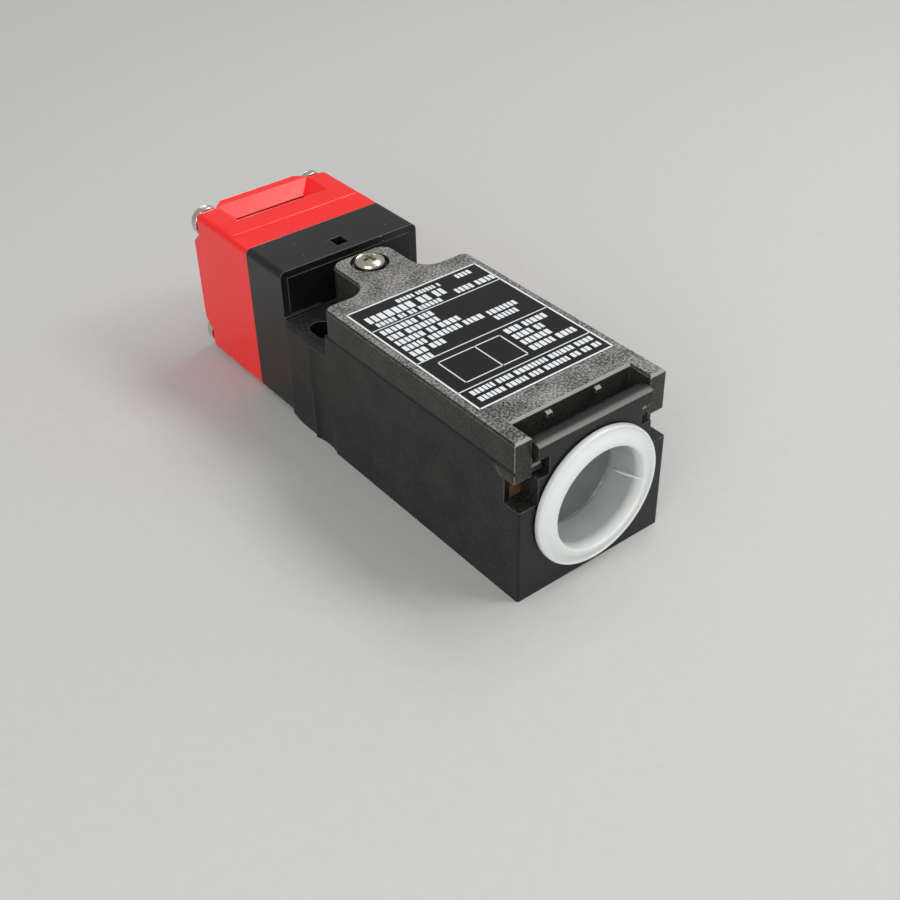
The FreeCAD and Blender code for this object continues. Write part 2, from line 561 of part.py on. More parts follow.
# ---- Head ----------------------------------------------------------------------------------------
def head_base():
    block = rounded(square(HEAD_HALF, BODY_LENGTH, CAP_START), HEAD_EDGE_R,
                    lambda m, a: parallel(a, Y))
    width, length, offset = LATCH
    flange_end = BODY_LENGTH + FLANGE_LENGTH
    cuts = [square(FLANGE_HALF + SPIGOT_GAP, BODY_LENGTH - 1, flange_end + SPIGOT_GAP),
            square(SPIGOT_HALF + SPIGOT_GAP, BODY_LENGTH, SPIGOT_END + HEAD_GASKET),
            box((-width / 2, width / 2),
                (BODY_LENGTH + offset - length / 2, BODY_LENGTH + offset + length / 2),
                (HEAD_Z, HEAD_TOP + 1)),
            rod(PLUNGER_R + RUN_GAP, V(0, BODY_LENGTH, HEAD_Z), V(0, CAP_START + 1, HEAD_Z)),
            rod(SEAL_R + RUN_GAP, V(0, CAP_START - SEAL, HEAD_Z), V(0, CAP_START + 1, HEAD_Z))]
    screw_end = CORNER_FACE - HEAD_SCREW_LENGTH - 0.5
    cuts += [rod(HEAD_SCREW_R + RUN_GAP, V(x, screw_end, z), V(x, CAP_START + 1, z))
             for x, z in screw_places()]
    block = block.cut(cuts)
    # fingers that close the shaft's slots in the cap
    thick = SHAFT_R - FINGER_GAP
    finger = box((CAP_CAVITY_HALF + 3 * FINGER_GAP, SHAFT_SEAT - 2 * FINGER_GAP),
                 (CAP_START - 1, CAM_Y - SHAFT_R - FINGER_GAP), (HEAD_Z - thick, HEAD_Z + thick))
    return tidy(block.fuse(pair(finger)))


def funnel(centre, out, across):
    """Cutter of a key entry: a tapered mouth and the slot below it, entered along -out."""
    def rectangle(size, level):
        a, b = X * (size[0] / 2), across * (size[1] / 2)
        at = centre + out * level
        return Part.makePolygon([at - a - b, at + a - b, at + a + b, at - a + b, at - a - b])
    grow = [s + (f - s) * (CAP_WALL + 1) / CAP_WALL for s, f in zip(KEY_SLOT, KEY_FUNNEL)]
    mouth = Part.makeLoft([rectangle(KEY_SLOT, -CAP_WALL), rectangle(grow, 1.0)], True)
    slot = Part.Face(rectangle(KEY_SLOT, -CAP_WALL - 1)).extrude(out * (CAP_WALL + 1))
    return mouth.fuse(slot)


def head_cap():
    block = rounded(square(HEAD_HALF, CAP_START, CORNER_FACE), HEAD_EDGE_R,
                    lambda m, a: parallel(a, Y) or near(m.y, CORNER_FACE))
    top, foot = CAP_PAD_HALF
    raised = []
    for u, v in ((X, Z), (Z, X)):
        middle = V(0, CORNER_FACE - 1, HEAD_Z)
        reach = HEAD_HALF - 0.02
        wide = foot + (foot - top) / 2
        low, high = middle - u * reach, middle - u * reach + Y * (1 + CAP_PAD)
        bar = prism([low - v * wide, low + v * wide, high + v * top, high - v * top], u * 2 * reach)
        raised.append(rounded(bar, CAP_PAD_ROUND, lambda m, a: near(m.y, CAP_END) and not parallel(a, u)))
    cap = tidy(block.fuse(raised))
    cuts = [box((-CAP_CAVITY_HALF, CAP_CAVITY_HALF), (CAP_START - 1, CAP_CAVITY_END),
                (HEAD_LOW + CAP_WALL, HEAD_TOP - CAP_WALL)),
            funnel(V(0, KEY_Y, HEAD_TOP), Z, Y), funnel(V(0, CAP_END, KEY_Z), Y, Z)]
    for x, z in screw_places():
        cuts.append(rod(HEAD_SCREW_HOLE_R, V(x, CAP_START - 1, z), V(x, CAP_END, z)))
        cuts.append(rod(HEAD_SCREW_HEAD[0] + SCREW_CLEARANCE, V(x, CORNER_FACE, z), V(x, CAP_END + 1, z)))
    # slots that the shaft slides into from the head base's side
    radius = SHAFT_R + SHAFT_FIT
    for side in (-1, 1):
        reach = sorted((side * CAP_CAVITY_HALF, side * SHAFT_SEAT))
        cuts.append(box(reach, (CAP_START - 1, CAM_Y), (HEAD_Z - radius, HEAD_Z + radius)))
        cuts.append(rod(radius, V(reach[0], CAM_Y, HEAD_Z), V(reach[1], CAM_Y, HEAD_Z)))
    length, depth = CAP_STEP
    band = box((-HEAD_HALF - 1, HEAD_HALF + 1), (CAP_START - 1, CAP_START + length),
               (HEAD_TOP - depth, HEAD_TOP + 1))
    return tidy(cap.cut(cuts + [band]))


def head_screws():
    return [screw(V(x, CORNER_FACE, z), Y, HEAD_SCREW_HEAD, HEAD_SCREW_R, HEAD_SCREW_LENGTH)
            for x, z in screw_places()]


def key_cam():
    """Two notched driver discs with a spiral track between them, one moulding."""
    centre = V(0, CAM_Y, HEAD_Z)

    def at(radius, degrees, x):
        angle = radians(degrees)
        return V(x, CAM_Y + radius * cos(angle), HEAD_Z + radius * sin(angle))
    # the track falls at an even rate over the cam's turn, dwells, then steps back out
    fall_end = 180 - CAM_TURN
    steps = 11
    fall = [at(CAM_R - TRAVEL * i / steps, 180 - CAM_TURN * i / steps, -CAM_TRACK_HALF)
            for i in range(steps + 1)]
    low = [at(CAM_R - TRAVEL, fall_end - CAM_DWELL / 2, -CAM_TRACK_HALF),
           at(CAM_R - TRAVEL, fall_end - CAM_DWELL, -CAM_TRACK_HALF)]
    top = at(CAM_R, fall_end - CAM_DWELL, -CAM_TRACK_HALF)
    back = at(CAM_R, 180 + (fall_end - CAM_DWELL - 180) / 2 + 180, -CAM_TRACK_HALF)
    spline = Part.BSplineCurve()
    spline.interpolate(fall)
    edges = [spline.toShape(), Part.Arc(fall[-1], low[0], low[1]).toShape(),
             Part.makeLine(low[1], top), Part.Arc(top, back, fall[0]).toShape()]
    track = Part.Face(Part.Wire(edges)).extrude(X * 2 * CAM_TRACK_HALF)
    width, depth = CAM_NOTCH
    notch = box((-CAM_HALF - 1, CAM_HALF + 1), (CAM_R - depth, CAM_R + 2), (-width / 2, width / 2))
    notch = notch.fuse(rod(width / 2, V(-CAM_HALF - 1, CAM_R - depth, 0), V(CAM_HALF + 1, CAM_R - depth, 0)))
    notch.rotate(V(0, 0, 0), X, 45)
    notch.translate(centre)
    discs = []
    for side in (-1, 1):
        ends = sorted((side * CAM_TRACK_HALF, side * CAM_HALF))
        disc = rod(CAM_R, V(ends[0], CAM_Y, HEAD_Z), V(ends[1], CAM_Y, HEAD_Z))
        discs.append(disc.cut(notch))
    bore = rod(SHAFT_R + RUN_GAP, V(-CAM_HALF - 1, CAM_Y, HEAD_Z), V(CAM_HALF + 1, CAM_Y, HEAD_Z))
    return tidy(track.fuse(discs).cut(bore))


def cam_shaft():
    return rod(SHAFT_R, V(-SHAFT_HALF, CAM_Y, HEAD_Z), V(SHAFT_HALF, CAM_Y, HEAD_Z))


def plunger():
    nose = PLUNGER_NOSE_R
    shoulder = PLUNGER_TIP - nose * (1 - cos(pi / 4)) - (PLUNGER_R - nose * sin(pi / 4))
    arc = [(nose * sin(radians(a)), PLUNGER_TIP - nose * (1 - cos(radians(a)))) for a in (45, 20)]
    outline = [(0, PLUNGER_FOOT), (COLLAR_R, PLUNGER_FOOT), (COLLAR_R, PLUNGER_FOOT + COLLAR),
               (PLUNGER_R, PLUNGER_FOOT + COLLAR), (PLUNGER_R, shoulder)] + arc + [(0, PLUNGER_TIP)]
    return turned(outline, V(0, 0, HEAD_Z), Y, X)


def plunger_seal():
    """Rubber ring round the plunger, in the head base's face."""
    low, high = V(0, CAP_START - SEAL, HEAD_Z), V(0, CAP_START - 0.1, HEAD_Z)
    return rod(SEAL_R, low, high).cut(rod(PLUNGER_R + RUN_GAP, low, high))


def head_gasket():
    """Rubber sheet between the spigot's end and the head base."""
    sheet = square(SPIGOT_HALF, SPIGOT_END, SPIGOT_END + HEAD_GASKET)
    return sheet.cut(rod(PLUNGER_BORE_R, V(0, 0, HEAD_Z), V(0, CAP_START, HEAD_Z)))


# ---- Contact block ----------------------------------------------------------------------------------
def contact_block():
    block = box((-BLOCK_HALF, BLOCK_HALF), (BLOCK_START, BLOCK_END), (FLOOR, BLOCK_TOP))
    ends = [box((-LID_HALF, LID_HALF), (y, y + BLOCK_END_WALL), (BLOCK_TOP - 1, LID_Z))
            for y in (BLOCK_START, BLOCK_END - BLOCK_END_WALL)]
    half, top = BARRIER_THICK / 2, BARRIER_TOP
    walls = []
    for offset in (-BARRIER_OFFSET, BARRIER_OFFSET):
        y = BLOCK_MIDDLE + offset
        walls += pair(box((CHANNEL_HALF, BLOCK_HALF), (y - half, y + half), (BLOCK_TOP - 1, top)))
    block = block.fuse(ends + walls)
    cuts = [box((-CHANNEL_HALF, CHANNEL_HALF),
                (BLOCK_START + BLOCK_END_WALL, BLOCK_END - BLOCK_END_WALL), (CHANNEL_FLOOR, top)),
            box((-SLIDER_HALF - SLIDER_GAP, SLIDER_HALF + SLIDER_GAP),
                (BLOCK_END - BLOCK_END_WALL - 1, BLOCK_END + 1), (CHANNEL_FLOOR, top)),
            box((-CHANNEL_HALF, CHANNEL_HALF), (BLOCK_START + 3, BLOCK_END - 3), (0, CHANNEL_FLOOR - 2))]
    # wells under the terminal screws
    well = TERMINAL_SCREW_R + SCREW_CLEARANCE
    depth = BLOCK_TOP + PLATE_THICK + WASHER[1] - TERMINAL_LENGTH - 2 * SCREW_CLEARANCE
    for y in (nc_terminal_y(), no_terminal_y()):
        cuts += pair(box((TERMINAL_X - well, TERMINAL_X + well), (y - well, y + well), (depth, top)))
    return tidy(block.cut(cuts))


def block_lid():
    """Insulating strip over the slider, with a rib down each side."""
    strip = box((-LID_HALF, LID_HALF), (BLOCK_START, BLOCK_END), (LID_Z, LID_Z + LID))
    rib = box((LID_HALF - LID_RIB, LID_HALF), (BLOCK_START, BLOCK_END), (LID_Z, BARRIER_TOP))
    return tidy(strip.fuse(pair(rib)))


def contact_slider():
    """Moulded carrier with a window for each bridge."""
    slider = box((-SLIDER_HALF, SLIDER_HALF), (SLIDER_START, SLIDER_END), SLIDER_Z)
    half = SLIDER_WINDOW / 2
    cuts = [box((-SLIDER_HALF - 1, SLIDER_HALF + 1), span, (HEAD_Z - half, HEAD_Z + half))
            for span in (NO_WINDOW, NC_WINDOW)]
    pocket = RETURN_SPRING_R + WIRE_R + SLIDER_GAP
    cuts.append(box((-pocket, pocket), (SLIDER_START - 1, SLIDER_START + RETURN_POCKET),
                    (HEAD_Z - pocket, HEAD_Z + pocket)))
    return tidy(slider.cut(cuts))


def nc_bridge_y():
    return NC_WINDOW[1] - FACE_GAP - BRIDGE[1]


def no_bridge_y():
    return NO_WINDOW[0] + TRAVEL - BRIDGE_STROKE + FACE_GAP


def nc_leg_y():
    return nc_bridge_y() + BRIDGE[1] + CONTACT + BRIDGE_STROKE + FACE_GAP + CONTACT


def no_leg_y():
    return no_bridge_y() - CONTACT - FACE_GAP - CONTACT - STRIP


def nc_terminal_y():
    return nc_leg_y() + STRIP / 2 + TERMINAL_SHIFT[0]


def no_terminal_y():
    return no_leg_y() + STRIP / 2 + TERMINAL_SHIFT[1]


def tip(x, face, direction):
    """A square silver contact tip standing on a face, towards +Y or -Y."""
    half = CONTACT_SIDE / 2
    return box((x - half, x + half), sorted((face, face + direction * CONTACT)),
               (HEAD_Z - half, HEAD_Z + half))


def bridge(y, direction):
    half, thick, height = BRIDGE
    strip = box((-half, half), (y, y + thick), (HEAD_Z - height / 2, HEAD_Z + height / 2))
    face = y + thick if direction > 0 else y
    return tidy(strip.fuse(pair(tip(CONTACT_X, face, direction))))


def terminal(leg_y, screw_y, direction):
    """Bent brass strip: a leg with a contact tip under a plate with the screw's hole."""
    inner, outer, foot = TAB
    leg = box((inner, outer), (leg_y, leg_y + STRIP), (foot, BLOCK_TOP + 0.5))
    reach_in, reach_out, length = PLATE
    level = (BLOCK_TOP, BLOCK_TOP + PLATE_THICK)
    plate = box((TERMINAL_X - reach_in, TERMINAL_X + reach_out),
                (screw_y - length / 2, screw_y + length / 2), level)
    root = box((inner, TERMINAL_X - reach_in + 1), (leg_y, leg_y + STRIP), level)
    face = leg_y + STRIP if direction > 0 else leg_y
    strip = leg.fuse([plate, root, tip(CONTACT_X, face, direction)])
    hole = rod(TERMINAL_SCREW_R + THREAD_GAP, V(TERMINAL_X, screw_y, 0), V(TERMINAL_X, screw_y, SEAM_Z))
    return tidy(strip.cut(hole))


def terminal_places():
    return [(side * TERMINAL_X, y) for y in (nc_terminal_y(), no_terminal_y()) for side in (-1, 1)]


def terminal_screws():
    """Screws with a captive square washer each, made as one piece."""
    side, thick = WASHER
    low = BLOCK_TOP + PLATE_THICK
    screws = []
    for x, y in terminal_places():
        washer = box((x - side / 2, x + side / 2), (y - side / 2, y + side / 2), (low, low + thick))
        screws.append(tidy(plain_screw(V(x, y, low + thick)).fuse(washer)))
    return screws


def plain_screw(seat):
    radius, height = TERMINAL_HEAD
    outline = [(0, -TERMINAL_LENGTH), (TERMINAL_SCREW_R, -TERMINAL_LENGTH), (TERMINAL_SCREW_R, 0),
               (radius, 0), (radius, height), (0, height)]
    return turned(outline, seat, Z, X)


# ---- Assembly -----------------------------------------------------------------------------------------
def parts():
    right_nc = terminal(nc_leg_y(), nc_terminal_y(), -1)
    right_no = terminal(no_leg_y(), no_terminal_y(), 1)
    nc_spring = spring(CONTACT_SPRING_R, NC_WINDOW[0] + SPRING_GAP, nc_bridge_y() - SPRING_GAP, 5)
    no_spring = spring(CONTACT_SPRING_R, no_bridge_y() + BRIDGE[1] + SPRING_GAP,
                       NO_WINDOW[1] - SPRING_GAP, 4)
    return {
        "base_housing": base_housing(),
        "conduit_plug": conduit_plug(),
        "front_cover": front_cover(),
        "cover_gasket": cover_gasket(),
        "cover_screw": cover_screw(),
        "cover_insert": cover_insert(),
        "head_base": head_base(),
        "head_cap": head_cap(),
        "head_screws": head_screws(),
        "head_gasket": head_gasket(),
        "key_cam": key_cam(),
        "cam_shaft": cam_shaft(),
        "plunger": plunger(),
        "plunger_seal": plunger_seal(),
        "contact_block": contact_block(),
        "block_lid": block_lid(),
        "contact_slider": contact_slider(),
        "nc_bridge": bridge(nc_bridge_y(), 1),
        "no_bridge": bridge(no_bridge_y(), -1),
        "nc_spring": nc_spring,
        "no_spring": no_spring,
        "return_spring": spring(RETURN_SPRING_R, BLOCK_START + BLOCK_END_WALL + SPRING_GAP,
                                SLIDER_START + RETURN_POCKET - SPRING_GAP, 5),
        "nc_terminal_right": right_nc,
        "nc_terminal_left": right_nc.mirror(V(0, 0, 0), X),
        "no_terminal_right": right_no,
        "no_terminal_left": right_no.mirror(V(0, 0, 0), X),
        "terminal_screws": terminal_screws(),
    }


os.makedirs("parts", exist_ok=True)
for name, shape in parts().items():
    if isinstance(shape, list):
        shape = Part.makeCompound(shape)
    shape = shape.copy()
    shape.translate(Y * -MIDDLE_Y)
    solids = shape.Solids
    print(name, "solids", len(solids), "volume", round(sum(s.Volume for s in solids), 1),
          "valid", shape.isValid())
    shape.exportStep("parts/" + name + ".step")
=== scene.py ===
# Tongue interlock switch: the looks of each piece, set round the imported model.
# The pieces follow the order in which the switch is put together, and the stage comes last.
# New pieces are drawn in millimetres and brought to the frame's metres when they are placed.
import bpy
import math
import random
from mathutils import Matrix, Vector


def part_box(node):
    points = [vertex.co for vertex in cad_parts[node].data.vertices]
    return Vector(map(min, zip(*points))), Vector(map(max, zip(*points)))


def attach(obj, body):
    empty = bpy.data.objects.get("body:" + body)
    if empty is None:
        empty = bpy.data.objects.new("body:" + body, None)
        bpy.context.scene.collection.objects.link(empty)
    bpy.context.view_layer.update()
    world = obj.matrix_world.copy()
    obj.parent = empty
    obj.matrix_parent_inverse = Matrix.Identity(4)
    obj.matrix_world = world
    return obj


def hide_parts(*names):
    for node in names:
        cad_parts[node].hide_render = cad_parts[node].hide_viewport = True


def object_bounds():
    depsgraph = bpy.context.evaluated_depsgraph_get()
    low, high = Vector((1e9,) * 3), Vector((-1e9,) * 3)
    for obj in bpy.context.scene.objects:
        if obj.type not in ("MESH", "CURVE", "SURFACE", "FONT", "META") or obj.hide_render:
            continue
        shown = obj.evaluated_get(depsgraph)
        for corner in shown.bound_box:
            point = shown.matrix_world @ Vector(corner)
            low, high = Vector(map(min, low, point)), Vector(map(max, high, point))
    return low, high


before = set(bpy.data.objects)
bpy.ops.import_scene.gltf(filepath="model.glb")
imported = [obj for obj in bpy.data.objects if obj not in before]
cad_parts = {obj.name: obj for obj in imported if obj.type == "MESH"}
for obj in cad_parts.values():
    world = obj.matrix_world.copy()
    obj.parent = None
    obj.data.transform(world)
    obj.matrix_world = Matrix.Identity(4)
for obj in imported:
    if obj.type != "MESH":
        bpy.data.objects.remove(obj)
cad_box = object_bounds()
bpy.ops.object.select_all(action="DESELECT")
MM = 0.001

# ---- Housing -----------------------------------------------------------------------------
# The open box that everything is fixed to, injection moulded in PBT with 30% glass fibre.
# The fibres roughen its flanks, while the conduit face comes off a polished part of the mould.
# It lies on its mounting face; the other pieces are pressed, hooked or snapped to it.

# inputs that go by number: those of a map range, and the share and colours of a colour mix
VALUE, FROM_LOW, FROM_HIGH, TO_LOW, TO_HIGH = range(5)
SHARE, COLOUR_A, COLOUR_B = 0, 6, 7
COLOUR_OUT = 2                       # the output where a colour mix gives its colour
PBT_IOR = 1.57


def linear(code):
    """An sRGB hex colour as the linear value that the shader mixes in."""
    parts = [int(code[at:at + 2], 16) / 255 for at in (1, 3, 5)]
    return tuple(c / 12.92 if c <= 0.04045 else ((c + 0.055) / 1.055) ** 2.4 for c in parts) + (1,)


def add(material, kind, links, out=0, **settings):
    """One node with its settings. links gives each input a number, a colour or a node's output."""
    made = material.node_tree.nodes.new("ShaderNode" + kind)
    for key, value in settings.items():
        setattr(made, key, value)
    for key, value in links.items():
        if isinstance(value, bpy.types.NodeSocket):
            material.node_tree.links.new(value, made.inputs[key])
        else:
            made.inputs[key].default_value = linear(value) if isinstance(value, str) else value
    return made.outputs[out]


def plain(name, base, rough, ior=1.5, metal=0.0):
    """A material at its plain finish, its shader, and the piece's own coordinates for patterns."""
    material = bpy.data.materials.new(name)
    material.use_nodes = True
    shader = material.node_tree.nodes["Principled BSDF"]
    for socket, value in (("Base Color", linear(base)), ("Roughness", rough), ("Metallic", metal),
                          ("IOR", ior)):
        shader.inputs[socket].default_value = value
    return material, shader, add(material, "TexCoord", {}, "Object")


def drive(material, shader, **sockets):
    """Lets patterns drive the shader's sockets."""
    for socket, value in sockets.items():
        material.node_tree.links.new(value, shader.inputs[socket.replace("_", " ")])


def worn_edges_and_painted_highlight(material, radius_mm):
    """The normal rounded over sharp edges, and a mask that is 1 along those that stand out; it
    paints them paler, partly as handling wear and partly as a painted highlight.
    """
    unturned, well_turned = 0.985, 0.86      # how alike the rounded and the flat normal are
    reach_mm = 0.8
    soft = add(material, "Bevel", {"Radius": radius_mm * MM}, samples=6)
    flat = add(material, "NewGeometry", {}, "Normal")
    turn = add(material, "VectorMath", {0: soft, 1: flat}, "Value", operation="DOT_PRODUCT")
    edge = add(material, "MapRange", {VALUE: turn, FROM_LOW: unturned, FROM_HIGH: well_turned})
    # inner corners are shaded by their neighbours, so they are left out
    clear = add(material, "AmbientOcclusion", {"Distance": reach_mm * MM}, "AO", samples=4)
    clear = add(material, "MapRange", {VALUE: clear, FROM_LOW: 0.7, FROM_HIGH: 0.92})
    return soft, add(material, "Math", {0: edge, 1: clear}, operation="MULTIPLY")


def glass_filled_pbt(name, dark, pale, worn_and_highlight_colour, wear_and_highlight_share, bite_mm, smooth, seam):
    """Glass-filled polyester as moulded: fibres near the skin give a salt-and-pepper speckle,
    edges are painted paler, partly handling wear and partly a painted highlight, faces that look
    up and forward get a painted sheen, and painted shade darkens the parting line.
    smooth says which faces the mould leaves plain and dark, which on the cover leaves the top's
    pale grain as a painted sheen: the way they look, the two likenesses to it between which the
    grain gives way, and how rough those faces stay."""
    fibre_mm, cloud_mm, edge_mm = 0.42, 5.0, 0.28
    band_mm, fade_mm = 0.3, 0.12             # half the painted gap shade's width, and its soft margin
    inside_mm, skin_mm = 0.2, 0.1            # depths under the flanks between which it begins
    forward_and_up = (0, -0.57, 0.82)
    way, begins, full, sheen = smooth
    seam_height, half_width = seam
    material, shader, here = plain(name, dark, 0.5, PBT_IOR)
    shader.inputs["Specular IOR Level"].default_value = 0.3
    fibres = add(material, "TexNoise", {"Vector": here, "Scale": 1 / (fibre_mm * MM), "Detail": 4.0,
                                        "Roughness": 0.7})
    cloud = add(material, "TexNoise", {"Vector": here, "Scale": 1 / (cloud_mm * MM), "Detail": 3.0})
    cloud = add(material, "MapRange", {VALUE: cloud, FROM_LOW: 0.3, FROM_HIGH: 0.7, TO_LOW: 0.85,
                                       TO_HIGH: 1.12})
    speckle = add(material, "Math", {0: fibres, 1: cloud}, operation="MULTIPLY")
    speckle = add(material, "MapRange", {VALUE: speckle, FROM_LOW: 0.38, FROM_HIGH: 0.62})
    skin = add(material, "Mix", {SHARE: speckle, COLOUR_A: dark, COLOUR_B: pale}, COLOUR_OUT,
               data_type="RGBA")
    soft, edge = worn_edges_and_painted_highlight(material, edge_mm)
    # edges painted paler: partly handling wear, partly a painted highlight along them
    patchy = add(material, "MapRange", {VALUE: fibres, FROM_LOW: 0.35, FROM_HIGH: 0.6,
                                        TO_LOW: 0.3 * wear_and_highlight_share, TO_HIGH: wear_and_highlight_share})
    wear_and_painted_highlight = add(material, "Math", {0: edge, 1: patchy}, operation="MULTIPLY")
    # a painted sheen: what faces up and forward, such as the lip's crown, is lightened towards the
    # edges' paler colour
    flat = add(material, "TexCoord", {}, "Normal")
    crown = add(material, "VectorMath", {0: flat, 1: forward_and_up}, "Value",
                operation="DOT_PRODUCT")
    crown = add(material, "MapRange", {VALUE: crown, FROM_LOW: 0.87, FROM_HIGH: 0.98, TO_HIGH: 0.6})
    wear_and_painted_highlight = add(material, "Math", {0: wear_and_painted_highlight, 1: crown}, operation="MAXIMUM")
    # faces that look the smooth way lose the grain: less colour, less bump and a closer sheen
    polish = add(material, "VectorMath", {0: flat, 1: way}, "Value", operation="DOT_PRODUCT")
    polish = add(material, "MapRange", {VALUE: polish, FROM_LOW: begins, FROM_HIGH: full})
    bite = add(material, "MapRange", {VALUE: polish, TO_LOW: 1.0, TO_HIGH: 0.15})
    bump = add(material, "Bump", {"Height": fibres, "Distance": bite_mm * MM, "Normal": soft,
                                  "Strength": bite})
    # on the cover, darkening all but the top leaves the top paler: a painted sheen
    bare = add(material, "MapRange", {VALUE: polish, TO_HIGH: 0.93})
    skin = add(material, "Mix", {SHARE: bare, COLOUR_A: skin, COLOUR_B: dark}, COLOUR_OUT,
               data_type="RGBA")
    skin = add(material, "Mix", {SHARE: wear_and_painted_highlight, COLOUR_A: skin, COLOUR_B: worn_and_highlight_colour}, COLOUR_OUT,
               data_type="RGBA")
    # the parting line: painted shade in the gap, a dark band on the flanks, either side of the
    # height where the two meet
    height = add(material, "SeparateXYZ", {0: here}, "Z")
    offset = add(material, "Math", {0: height, 1: seam_height * MM}, operation="SUBTRACT")
    offset = add(material, "Math", {0: offset}, operation="ABSOLUTE")
    line = add(material, "MapRange", {VALUE: offset, FROM_LOW: (band_mm + fade_mm) * MM,
                                      FROM_HIGH: band_mm * MM})
    across = add(material, "SeparateXYZ", {0: here}, "X")
    across = add(material, "Math", {0: across}, operation="ABSOLUTE")
    flank = add(material, "MapRange", {VALUE: across, FROM_LOW: (half_width - inside_mm) * MM,
                                       FROM_HIGH: (half_width - skin_mm) * MM})
    painted_gap_shade = add(material, "Math", {0: line, 1: flank}, operation="MULTIPLY")
    rough = add(material, "MapRange", {VALUE: fibres, FROM_LOW: 0.35, FROM_HIGH: 0.65,
                                       TO_LOW: 0.38, TO_HIGH: 0.62})
    rough = add(material, "Mix", {"Factor": polish, "A": rough, "B": sheen})
    # the near-black colour is painted shade in the gap between the cover and the housing
    skin = add(material, "Mix", {SHARE: painted_gap_shade, COLOUR_A: skin, COLOUR_B: "#040404"}, COLOUR_OUT,
               data_type="RGBA")
    drive(material, shader, Base_Color=skin, Normal=bump, Roughness=rough)
    return material


def dress(material, *nodes):
    """Gives carried-over CAD nodes their material."""
    for node in nodes:
        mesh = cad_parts[node].data
        mesh.materials.clear()
        mesh.materials.append(material)


RIM_HEIGHT = 24.2                    # where the cover lands on the side walls, in millimetres
low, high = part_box("front_cover")
SEAM = (RIM_HEIGHT, high.x / MM)     # the parting line's height, and half the housing's width
# the end face, with the lip's crown, came off a polished part of the mould
POLISHED_END = ((0, -1, 0), 0.1, 0.3, 0.3)
# the third colour paints the edges paler: handling wear and a painted highlight
dress(glass_filled_pbt("glass_filled_pbt_housing", "#0d0e0e", "#2b2c29", "#7d7a70", 0.65, 0.05,
                       POLISHED_END, SEAM), "base_housing")

# ---- Seals -------------------------------------------------------------------------------
# The cover gasket is a brown nitrile frame with a tab down each front corner of the housing.
# The head gasket is a sheet of black nitrile, and the plunger's seal is a moulded ring of it.


def nitrile(name, base, pale):
    """Nitrile rubber: nearly matt, with a bloom that clouds its colour."""
    bloom_mm, skin_mm, edge_mm, bite_mm = 1.5, 0.25, 0.12, 0.02
    material, shader, here = plain(name, base, 0.7, 1.52)
    bloom = add(material, "TexNoise", {"Vector": here, "Scale": 1 / (bloom_mm * MM), "Detail": 4.0})
    grain = add(material, "TexNoise", {"Vector": here, "Scale": 1 / (skin_mm * MM)})
    cloudy = add(material, "MapRange", {VALUE: bloom, FROM_LOW: 0.35, FROM_HIGH: 0.7})
    skin = add(material, "Mix", {SHARE: cloudy, COLOUR_A: base, COLOUR_B: pale}, COLOUR_OUT,
               data_type="RGBA")
    soft = add(material, "Bevel", {"Radius": edge_mm * MM}, samples=6)
    bump = add(material, "Bump", {"Height": grain, "Distance": bite_mm * MM, "Normal": soft})
    rough = add(material, "MapRange", {VALUE: bloom, FROM_LOW: 0.3, FROM_HIGH: 0.7, TO_LOW: 0.58,
                                       TO_HIGH: 0.8})
    drive(material, shader, Base_Color=skin, Normal=bump, Roughness=rough)
    return material


dress(nitrile("nitrile_brown", "#4a3015", "#6b4a22"), "cover_gasket")
dress(nitrile("nitrile_black", "#151515", "#242424"), "head_gasket", "plunger_seal")

# ---- Contact block -----------------------------------------------------------------------
# The insulating base of the contacts and the lid over it, compression moulded in cream
# phenolic. The block lies on the housing's floor, held down by a wedge on each side wall.


def phenolic():
    """Phenolic moulding compound: wood-flour flecks in a satin skin."""
    fleck_mm, edge_mm, bite_mm = 0.4, 0.15, 0.012
    material, shader, here = plain("phenolic_cream", "#c0b494", 0.42, 1.55)
    fleck = add(material, "TexNoise", {"Vector": here, "Scale": 1 / (fleck_mm * MM), "Detail": 5.0,
                                       "Roughness": 0.75})
    shown = add(material, "MapRange", {VALUE: fleck, FROM_LOW: 0.42, FROM_HIGH: 0.72})
    skin = add(material, "Mix", {SHARE: shown, COLOUR_A: "#c6bb9b", COLOUR_B: "#8f8260"},
               COLOUR_OUT, data_type="RGBA")
    soft = add(material, "Bevel", {"Radius": edge_mm * MM}, samples=6)
    bump = add(material, "Bump", {"Height": fleck, "Distance": bite_mm * MM, "Normal": soft})
    rough = add(material, "MapRange", {VALUE: fleck, FROM_LOW: 0.3, FROM_HIGH: 0.7, TO_LOW: 0.36,
                                       TO_HIGH: 0.5})
    drive(material, shader, Base_Color=skin, Normal=bump, Roughness=rough)
    return material


dress(phenolic(), "contact_block", "block_lid")

# ---- Slider, plunger and key cam ---------------------------------------------------------
# The pieces that move between the key and the contacts, moulded in natural acetal so that
# they run dry on each other.


